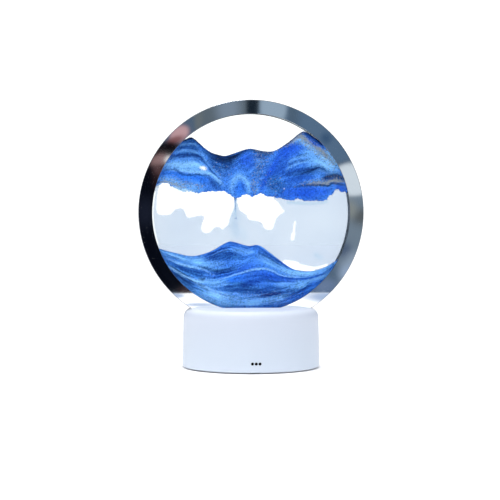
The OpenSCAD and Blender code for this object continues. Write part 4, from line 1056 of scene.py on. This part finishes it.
# Blue haze of finest sand: half width, strength, points
LIQUID_HAZE = [
    (1.6, 0.4, [(-12.6, 9), (-12.6, 3), (-13, -2)]),
    (5.0, 0.2, [(-13, -4), (-13.5, -10), (-12, -16)]),
    (3.5, 0.12, [(-8, -14), (-6, -19)]),
    (1.4, 0.3, [(30, 8.4), (40, 7.6), (52, 7.6), (61, 9)]),
    (2.2, 0.25, [(52.5, -34), (54, -35), (56, -36)]),
]


def liquid_material():
    """Clear liquid with a faint blue cast: what stands behind it shows through."""
    mat, make = new_material("clear_liquid", Roughness=0.3, Specular_IOR_Level=0.1)
    body = make.node("Attribute", attribute_name="body").outputs["Fac"]
    haze = make.node("Attribute", attribute_name="haze").outputs["Fac"]
    motes = make.noise(900, 2, 0.6)
    cast = make.tones(make.noise(22, 2), "E3E8F0", "E9EDF3")
    dusty = make.maths("MULTIPLY", haze, make.remap(motes, 0.35, 0.65, 0.4, 1.6), clamp=True)
    tinted = make.blend(dusty, cast, srgb("C2DAEA"))
    clear = make.node("BsdfTransparent", {"Color": make.blend(body, (1, 1, 1), tinted)})
    make.colour(make.blend(dusty, srgb("C8DAEC"), srgb("9CC8EE")))
    share = make.maths("MULTIPLY", body, 0.12)
    mixed = make.node("MixShader", {0: share, 1: clear.outputs[0], 2: make.shader.outputs[0]})
    make.put(mat.node_tree.nodes["Material Output"].inputs["Surface"], mixed.outputs[0])
    return mat


def liquid():
    """Replaces the CAD liquid with a thinner film, holed by the air bubbles' outlines."""
    edges = outline("liquid")
    x, z = grid(edges, LIQUID_STEP)
    wet = signed_distance(x, z, edges)
    sandy = np.maximum(signed_distance(x, z, outline("upper_sand")),
                       signed_distance(x, z, outline("lower_sand")))
    filled = np.maximum(wet, np.minimum(wet + UNDER_SAND, sandy))
    to_wall = CELL_R - LIQUID_WALL_GAP - np.hypot(x, z)
    field = np.minimum(filled, to_wall)
    half = LIQUID_RIM + LIQUID_SWELL * rounded(np.clip(field, 0, 1))
    half = np.minimum(half, CELL_HALF - LIQUID_PANE_GAP)
    thing, used = sheet_between_panes("liquid_film", x, z, field, half)
    body = smoothstep(0.0, 1.1, np.maximum(wet, sandy + UNDER_SAND))
    # painted highlight: the liquid is cleared near the wall on the left, a bright meniscus
    rim = smoothstep(2.4, 1.6, to_wall) * smoothstep(2.0, 4.0, -sandy) * smoothstep(0, -30, x)
    # painted highlights: the liquid is cleared along each glint
    for width, strength, points in LIQUID_GLINTS:
        away = distance_along(x, z, points)[0]
        body = body * (1 - strength * smoothstep(width + 0.5, width - 0.5, away))
    haze = np.zeros(x.shape)
    for width, strength, points in LIQUID_HAZE:
        away = distance_along(x, z, points)[0]
        haze = np.maximum(haze, strength * smoothstep(width * 1.6, 0, away))
    give(thing, used, "body", body * (1 - 0.85 * rim))
    give(thing, used, "haze", haze)
    thing.data.materials.append(liquid_material())
    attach(thing, "disc")
    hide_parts("liquid")


# ---------------------------------------------------------------- sinking grains

def grain_shape():
    """Vertices and faces of one rough grain of unit radius."""
    built = bmesh.new()
    bmesh.ops.create_icosphere(built, subdivisions=1, radius=1)
    spots = np.array([v.co for v in built.verts])
    faces = np.array([[v.index for v in f.verts] for f in built.faces])
    built.free()
    return spots, faces


def grains(name, places, sizes, seed, material):
    """Loose grains as one piece. places are in mm from the disc's centre, with y too."""
    rng = np.random.default_rng(seed)
    spots, faces = grain_shape()
    all_spots, all_faces = [], []
    for k, (place, size) in enumerate(zip(places, sizes)):
        rough = spots * (1 + 0.25 * rng.standard_normal((len(spots), 1)).clip(-1, 1))
        stretch = rng.uniform(0.7, 1.3, 3)
        all_spots.append(place + rough * stretch * size)
        all_faces.append(faces + k * len(spots))
    mesh = bpy.data.meshes.new(name)
    world = np.concatenate(all_spots) * MM + np.array(DISC)
    mesh.from_pydata(world.tolist(), [], np.concatenate(all_faces).tolist())
    mesh.update()
    thing = put_in_scene(name, mesh)
    thing.data.materials.append(material)
    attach(thing, "disc")


def grain_material():
    """Loose grains in a few blues."""
    mat, make = new_material("loose_grains", Specular_IOR_Level=0.3)
    cells = make.node("TexVoronoi", {"Vector": make.place(), "Scale": 900.0})
    lot = make.node("SeparateColor", {0: cells.outputs["Color"]}).outputs[0]
    make.colour(make.ramp(
        lot, [(0.0, srgb("2A62B0")), (0.5, srgb("4E8AD6")), (1.0, srgb("86AEDC"))]))
    make.rough(make.remap(lot, 0, 1, 0.6, 0.9))
    return mat


# Where the stream stands across the disc, and the grain counts round it and under the upper sand
STREAM_X = -12.6
SINKING_COUNT = 110
FRINGE_COUNT = 420
# The thread of sand that runs out of the upper layer: height, half width
STREAM = [(14.5, 2.6), (13, 1.6), (11.7, 0.95), (10.2, 0.6), (8.8, 0.3), (7, 0.2), (4.5, 0.16),
          (2, 0.12)]
# Small clots of sand that sink below it: x, height, radius
CLOTS = [(-12.2, 5.4, 0.42), (-14.8, -2.0, 0.4), (-10.2, -0.6, 0.3), (-12.0, -4.3, 0.55),
         (-13.1, -4.5, 0.4), (-9.6, -5.2, 0.22), (-16.6, -11.8, 0.26), (-13.4, -9.2, 0.2),
         (-8.0, -10.4, 0.22), (-14.9, -15.2, 0.24), (-5.6, -14.8, 0.2), (-17.8, -14.0, 0.2)]


def falling_stream(material):
    """A tapering thread of grains, uneven like running sand."""
    sides = 14
    rings = []
    line = curve_through(STREAM, 6)
    rng = np.random.default_rng(7)
    for height, half in line:
        bulge = 1 + 0.22 * rng.standard_normal(sides).clip(-1, 1)
        angle = np.arange(sides) * 2 * math.pi / sides
        wander = 0.15 * math.sin(height * 1.3)
        wide = half * bulge
        deep = np.minimum(half, CELL_HALF - 0.4) * bulge
        rings.append(np.stack([STREAM_X + wander + wide * np.cos(angle),
                               deep * np.sin(angle), np.full(sides, height)], axis=1))
    spots = np.concatenate(rings)
    faces = []
    for k in range(len(rings) - 1):
        for s in range(sides):
            a, b = k * sides + s, k * sides + (s + 1) % sides
            faces.append((a, b, b + sides, a + sides))
    faces.append(tuple(range(sides))[::-1])
    faces.append(tuple(range((len(rings) - 1) * sides, len(rings) * sides)))
    mesh = bpy.data.meshes.new("falling_stream")
    mesh.from_pydata((spots * MM + np.array(DISC)).tolist(), [], faces)
    mesh.update()
    fix = bmesh.new()
    fix.from_mesh(mesh)
    bmesh.ops.recalc_face_normals(fix, faces=fix.faces)
    fix.to_mesh(mesh)
    fix.free()
    thing = put_in_scene("falling_stream", mesh)
    thing.data.materials.append(material)
    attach(thing, "disc")
    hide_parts("falling_sand")


def under_upper_sand(rng, count):
    """Places of loose grains close under the upper sand's ragged edge."""
    edges = outline("upper_sand")
    middles = edges.mean(1)
    spans = np.abs(edges[:, 1, 0] - edges[:, 0, 0])
    low = (middles[:, 1] < 26) & (np.hypot(*middles.T) < CELL_R - 2)
    picked = rng.choice(np.nonzero(low)[0], count, p=spans[low] / spans[low].sum())
    share = rng.random((count, 1))
    spots = edges[picked, 0] * share + edges[picked, 1] * (1 - share)
    down = rng.exponential(0.7, count)
    keep = np.hypot(spots[:, 0], spots[:, 1]) < CELL_R - 1.5
    depth = rng.uniform(-1.3, 1.3, count)
    return np.stack([spots[:, 0], depth, spots[:, 1] + 0.4 - down], axis=1)[keep]


def loose_sand():
    """The falling stream, the grains and clots that sink round it, and the upper sand's fringe."""
    material = grain_material()
    falling_stream(material)
    rng = np.random.default_rng(19)
    count = SINKING_COUNT
    down = rng.uniform(0, 1, count) ** 0.8
    height = 6 - 28 * down
    spread = 0.3 + 4.0 * down
    places = np.stack([STREAM_X + spread * rng.standard_normal(count) * 0.5 + 1.2 * down,
                       rng.uniform(-1.1, 1.1, count), height], axis=1)
    sizes = rng.uniform(0.08, 0.2, count)
    clots = np.array([(x, rng.uniform(-0.6, 0.6), z) for x, z, radius in CLOTS])
    fringe = under_upper_sand(rng, FRINGE_COUNT)
    places = np.concatenate([places, clots, fringe])
    sizes = np.concatenate([sizes, [radius for x, z, radius in CLOTS],
                            rng.uniform(0.07, 0.2, len(fringe))])
    grains("sinking_grains", places, sizes, 23, material)


# ---------------------------------------------------------------- studio

# What stands in front of the lamp, as its mirrored rings show it, in degrees to the right of
# straight ahead and up: place, reach, tilt, softness and colour of each patch. Later ones lie
# over earlier ones.
ROOM = [
    # a dark doorway on the left, with something pink and a small lamp over it
    ((-1.0, -1.8), (3.4, 4.4), 0, 0.05, "070A14"),
    ((0.58, -0.7), (0.3, 0.5), 0, 0.8, "1A1E2C"),
    ((1.78, 2.07), (0.36, 0.25), 32, 0.3, "C8A0A4"),
    ((1.6, 1.83), (0.34, 0.12), 22, 0.5, "85585A"),
    ((1.3, 1.55), (0.6, 0.24), 0, 0.35, "060408"),
    ((1.08, 1.14), (0.33, 0.19), 15, 0.5, "967878"),
    ((1.44, 1.15), (0.17, 0.13), 10, 0.35, "FFFFFF"),
    ((1.02, 0.78), (0.15, 0.2), 0, 0.8, "5A4244"),
    ((0.94, 0.42), (0.1, 0.26), 0, 0.9, "24181C"),
    ((2.0, -3.45), (0.25, 0.14), 0, 0.6, "3A2C2E"),
    # the slate wall ahead, with a black post and a pale board
    ((3.5, 3.1), (1.35, 0.95), 0, 0.12, "5E6A74"),
    ((3.5, 2.95), (0.4, 0.6), 0, 0.7, "7C8C9E"),
    ((2.46, 2.5), (0.14, 0.4), 0, 0.8, "6A7276"),
    ((6.7, 2.6), (2.2, 1.62), 0, 0.05, "566F8A"),
    ((5.75, 2.75), (0.25, 0.5), 0, 0.8, "4E6276"),
    ((6.95, 1.91), (0.18, 0.18), 0, 0.8, "3A5676"),
    ((5.08, 3.0), (0.48, 0.7), 0, 0.2, "97ABBE"),
    ((4.36, 3.0), (0.22, 1.0), 0, 0.3, "121E2A"),
    # a pale window on the right, over grey furniture
    ((8.1, -1.7), (1.7, 2.0), 0, 0.1, "70808F"),
    ((8.3, -0.85), (0.45, 0.3), 0, 0.7, "585E62"),
    ((7.72, -0.6), (0.3, 0.3), 0, 0.7, "888E8C"),
    ((7.6, -2.05), (0.25, 0.3), 20, 0.7, "485872"),
    ((8.0, -2.5), (0.4, 0.4), 0, 0.7, "90A0B2"),
    ((7.2, -2.85), (0.3, 0.35), 0, 0.7, "566A80"),
    ((7.75, -2.85), (0.32, 0.3), 0, 0.7, "98ABC6"),
    ((6.9, -3.3), (0.45, 0.25), 0, 0.7, "6C80A0"),
    ((7.9, 0.46), (0.8, 0.58), 0, 0.12, "D6E0E8"),
]


def room_reflection(make):
    """The colour that a mirror sees in each direction: a dim room with pale windows."""
    direction = make.node("TexCoord").outputs["Generated"]
    axes = make.node("SeparateXYZ", {0: direction}).outputs
    degrees = 180 / math.pi
    side = make.maths("ARCTAN2", axes[0], make.maths("MULTIPLY", axes[1], -1.0))
    side = make.maths("MULTIPLY", side, degrees)
    up = make.maths("MULTIPLY", make.maths("ARCSINE", axes[2]), degrees)
    angles = make.node("CombineXYZ", {0: side, 1: up, 2: 0.0}).outputs[0]
    cloud = make.noise(1.6, 2, 0.5, place=direction)
    walls = make.ramp(cloud, [
        (0.32, srgb("26323F")), (0.48, srgb("66788C")), (0.62, srgb("D5DEE8"))])
    behind = make.remap(axes[1], 0.1, 0.6, smooth=True)
    walls = make.blend(behind, walls, make.tones(cloud, "76838F", "BCC6D0"))
    ceiling = make.remap(up, 25.0, 55.0, smooth=True)
    colour = make.blend(ceiling, walls, srgb("F4F8FD"))
    colour = make.blend(make.remap(up, -8.0, -20.0, smooth=True), colour, srgb("DDE5EE"))
    ahead = make.node("VectorMath", {0: angles, 1: FAR_WALL}, operation="SUBTRACT")
    reach = make.length(ahead.outputs[0])
    colour = make.blend(make.remap(reach, *FAR_WALL_EDGE, smooth=True), colour, srgb("51647A"))
    for spot, size, tilt, soft, code in ROOM:
        colour = make.blend(make.patch(angles, spot, size, soft, tilt), colour, srgb(code))
    return colour


def build_world():
    """White behind the lamp, soft light from all round, and the room for mirrors only."""
    world = bpy.data.worlds.new("studio")
    bpy.context.scene.world = world
    world.use_nodes = True
    tree = world.node_tree
    tree.nodes.clear()
    make = Maker(tree)
    path = make.node("LightPath")
    seen = make.node("Background", {"Color": (1, 1, 1), "Strength": BACKDROP})
    height = make.axis(make.node("TexCoord").outputs["Generated"], 2)
    overhead = make.remap(height, 0.35, 0.8, smooth=True)
    sky = make.blend(overhead, srgb("DDE8FA"), (1.35, 1.35, 1.35))
    light = make.node("Background", {"Color": sky, "Strength": WORLD_LIGHT})
    room = make.node("Background", {"Color": room_reflection(make), "Strength": 1.0})
    mirrored = make.node("MixShader", {
        0: path.outputs["Is Glossy Ray"], 1: light.outputs[0], 2: room.outputs[0]})
    both = make.node("MixShader", {
        0: path.outputs["Is Camera Ray"], 1: mirrored.outputs[0], 2: seen.outputs[0]})
    output = make.node("OutputWorld")
    make.put(output.inputs["Surface"], both.outputs[0])


# Cooler patches of the table: place and half size in metres
TABLE_SHADES = [((0.18, -0.86), (0.045, 0.12)), ((-0.035, -0.92), (0.012, 0.05)),
                ((-0.008, -0.74), (0.02, 0.03))]


def table_material():
    """A white table top, bright enough by its glow to lose its shadows but for a painted shadow
    under the lamp, where ambient occlusion dims the glow, with a few cooler patches towards its
    front edge, which only the mirrored ring shows."""
    mat, make = new_material("table_top", Roughness=0.7, Specular_IOR_Level=0.1)
    cool = 0.0
    for spot, size in TABLE_SHADES:
        cool = make.maths("MAXIMUM", cool, make.patch(make.place(), spot, size, 0.5))
    seen = make.node("LightPath").outputs["Is Camera Ray"]
    cool = make.maths("MULTIPLY", cool, make.maths("SUBTRACT", 1.0, seen))
    white = make.ramp(make.noise(3, 3), [(0.3, (0.82, 0.82, 0.82)), (0.7, (0.84, 0.83, 0.83))])
    make.colour(make.blend(cool, white, srgb("A9BBD8")))
    # painted shadow: ambient occlusion dims the table's glow close under the lamp
    open_sky = make.node("AmbientOcclusion", {"Distance": 0.006}, samples=8).outputs["AO"]
    glow = make.maths("MULTIPLY", make.maths("POWER", open_sky, 1.3), TABLE_GLOW)
    glow_colour = make.blend(cool, (1, 0.97, 0.94), (0.1, 0.12, 0.16))
    make.put(make.shader.inputs["Emission Color"], glow_colour)
    make.put(make.shader.inputs["Emission Strength"], glow)
    return mat


def build_table():
    """A flat table top, whose front edge lies between the lamp and the camera."""
    left, right, front, back = -TABLE_REACH, TABLE_REACH, -TABLE_FRONT, TABLE_REACH
    corners = [(left, front, 0), (right, front, 0), (right, back, 0), (left, back, 0)]
    mesh = bpy.data.meshes.new("table_top")
    mesh.from_pydata(corners, [], [(0, 1, 2, 3)])
    mesh.materials.append(table_material())
    table = put_in_scene("table_top", mesh)


def hang_light(name, kind, place, target, power):
    """A light at that place, turned to the target. Returns its settings."""
    lamp = bpy.data.lights.new(name, kind)
    lamp.energy = power
    holder = put_in_scene(name, lamp)
    holder.location = place
    holder.rotation_euler = (Vector(target) - Vector(place)).to_track_quat("-Z", "Y").to_euler()
    return lamp


def build_lights():
    """A soft key light, a cool fill from the right, and a narrow beam on the base's top."""
    key = hang_light("key", "AREA", KEY_PLACE, DISC, KEY_POWER)
    fill = hang_light("fill", "AREA", FILL_PLACE, DISC, FILL_POWER)
    fill.color = srgb("EAF3FF")
    for lamp, size in ((key, KEY_SIZE), (fill, FILL_SIZE)):
        lamp.shape = "DISK"
        lamp.size = size
    base_top = (*BEAM_TARGET, BASE_HIGH.z)
    beam = hang_light("base_top_light", "SPOT", BEAM_PLACE, base_top, BEAM_POWER)
    beam.spot_size = BEAM_ANGLE
    beam.spot_blend = BEAM_BLEND
    beam.shadow_soft_size = BEAM_SIZE


def build_camera():
    """The camera at the photograph's viewing angle, with no shift and no depth of field."""
    lens = bpy.data.cameras.new("camera")
    lens.lens = CAMERA_LENS
    lens.sensor_width = 36
    lens.clip_start = 0.05
    holder = put_in_scene("camera", lens)
    holder.location = (DISC.x + CAMERA_DISTANCE * math.sin(CAMERA_YAW),
                       -CAMERA_DISTANCE * math.cos(CAMERA_YAW), DISC.z + CAMERA_RISE)
    holder.rotation_euler = (math.pi / 2 + CAMERA_PITCH, 0, CAMERA_YAW + CAMERA_TURN)
    bpy.context.scene.camera = holder


# ---------------------------------------------------------------- build

bpy.context.scene.view_settings.view_transform = "Standard"
build_camera()
build_world()
build_table()
build_lights()
dress_frame()
upper_sand()
lower_sand()
liquid()
loose_sand()
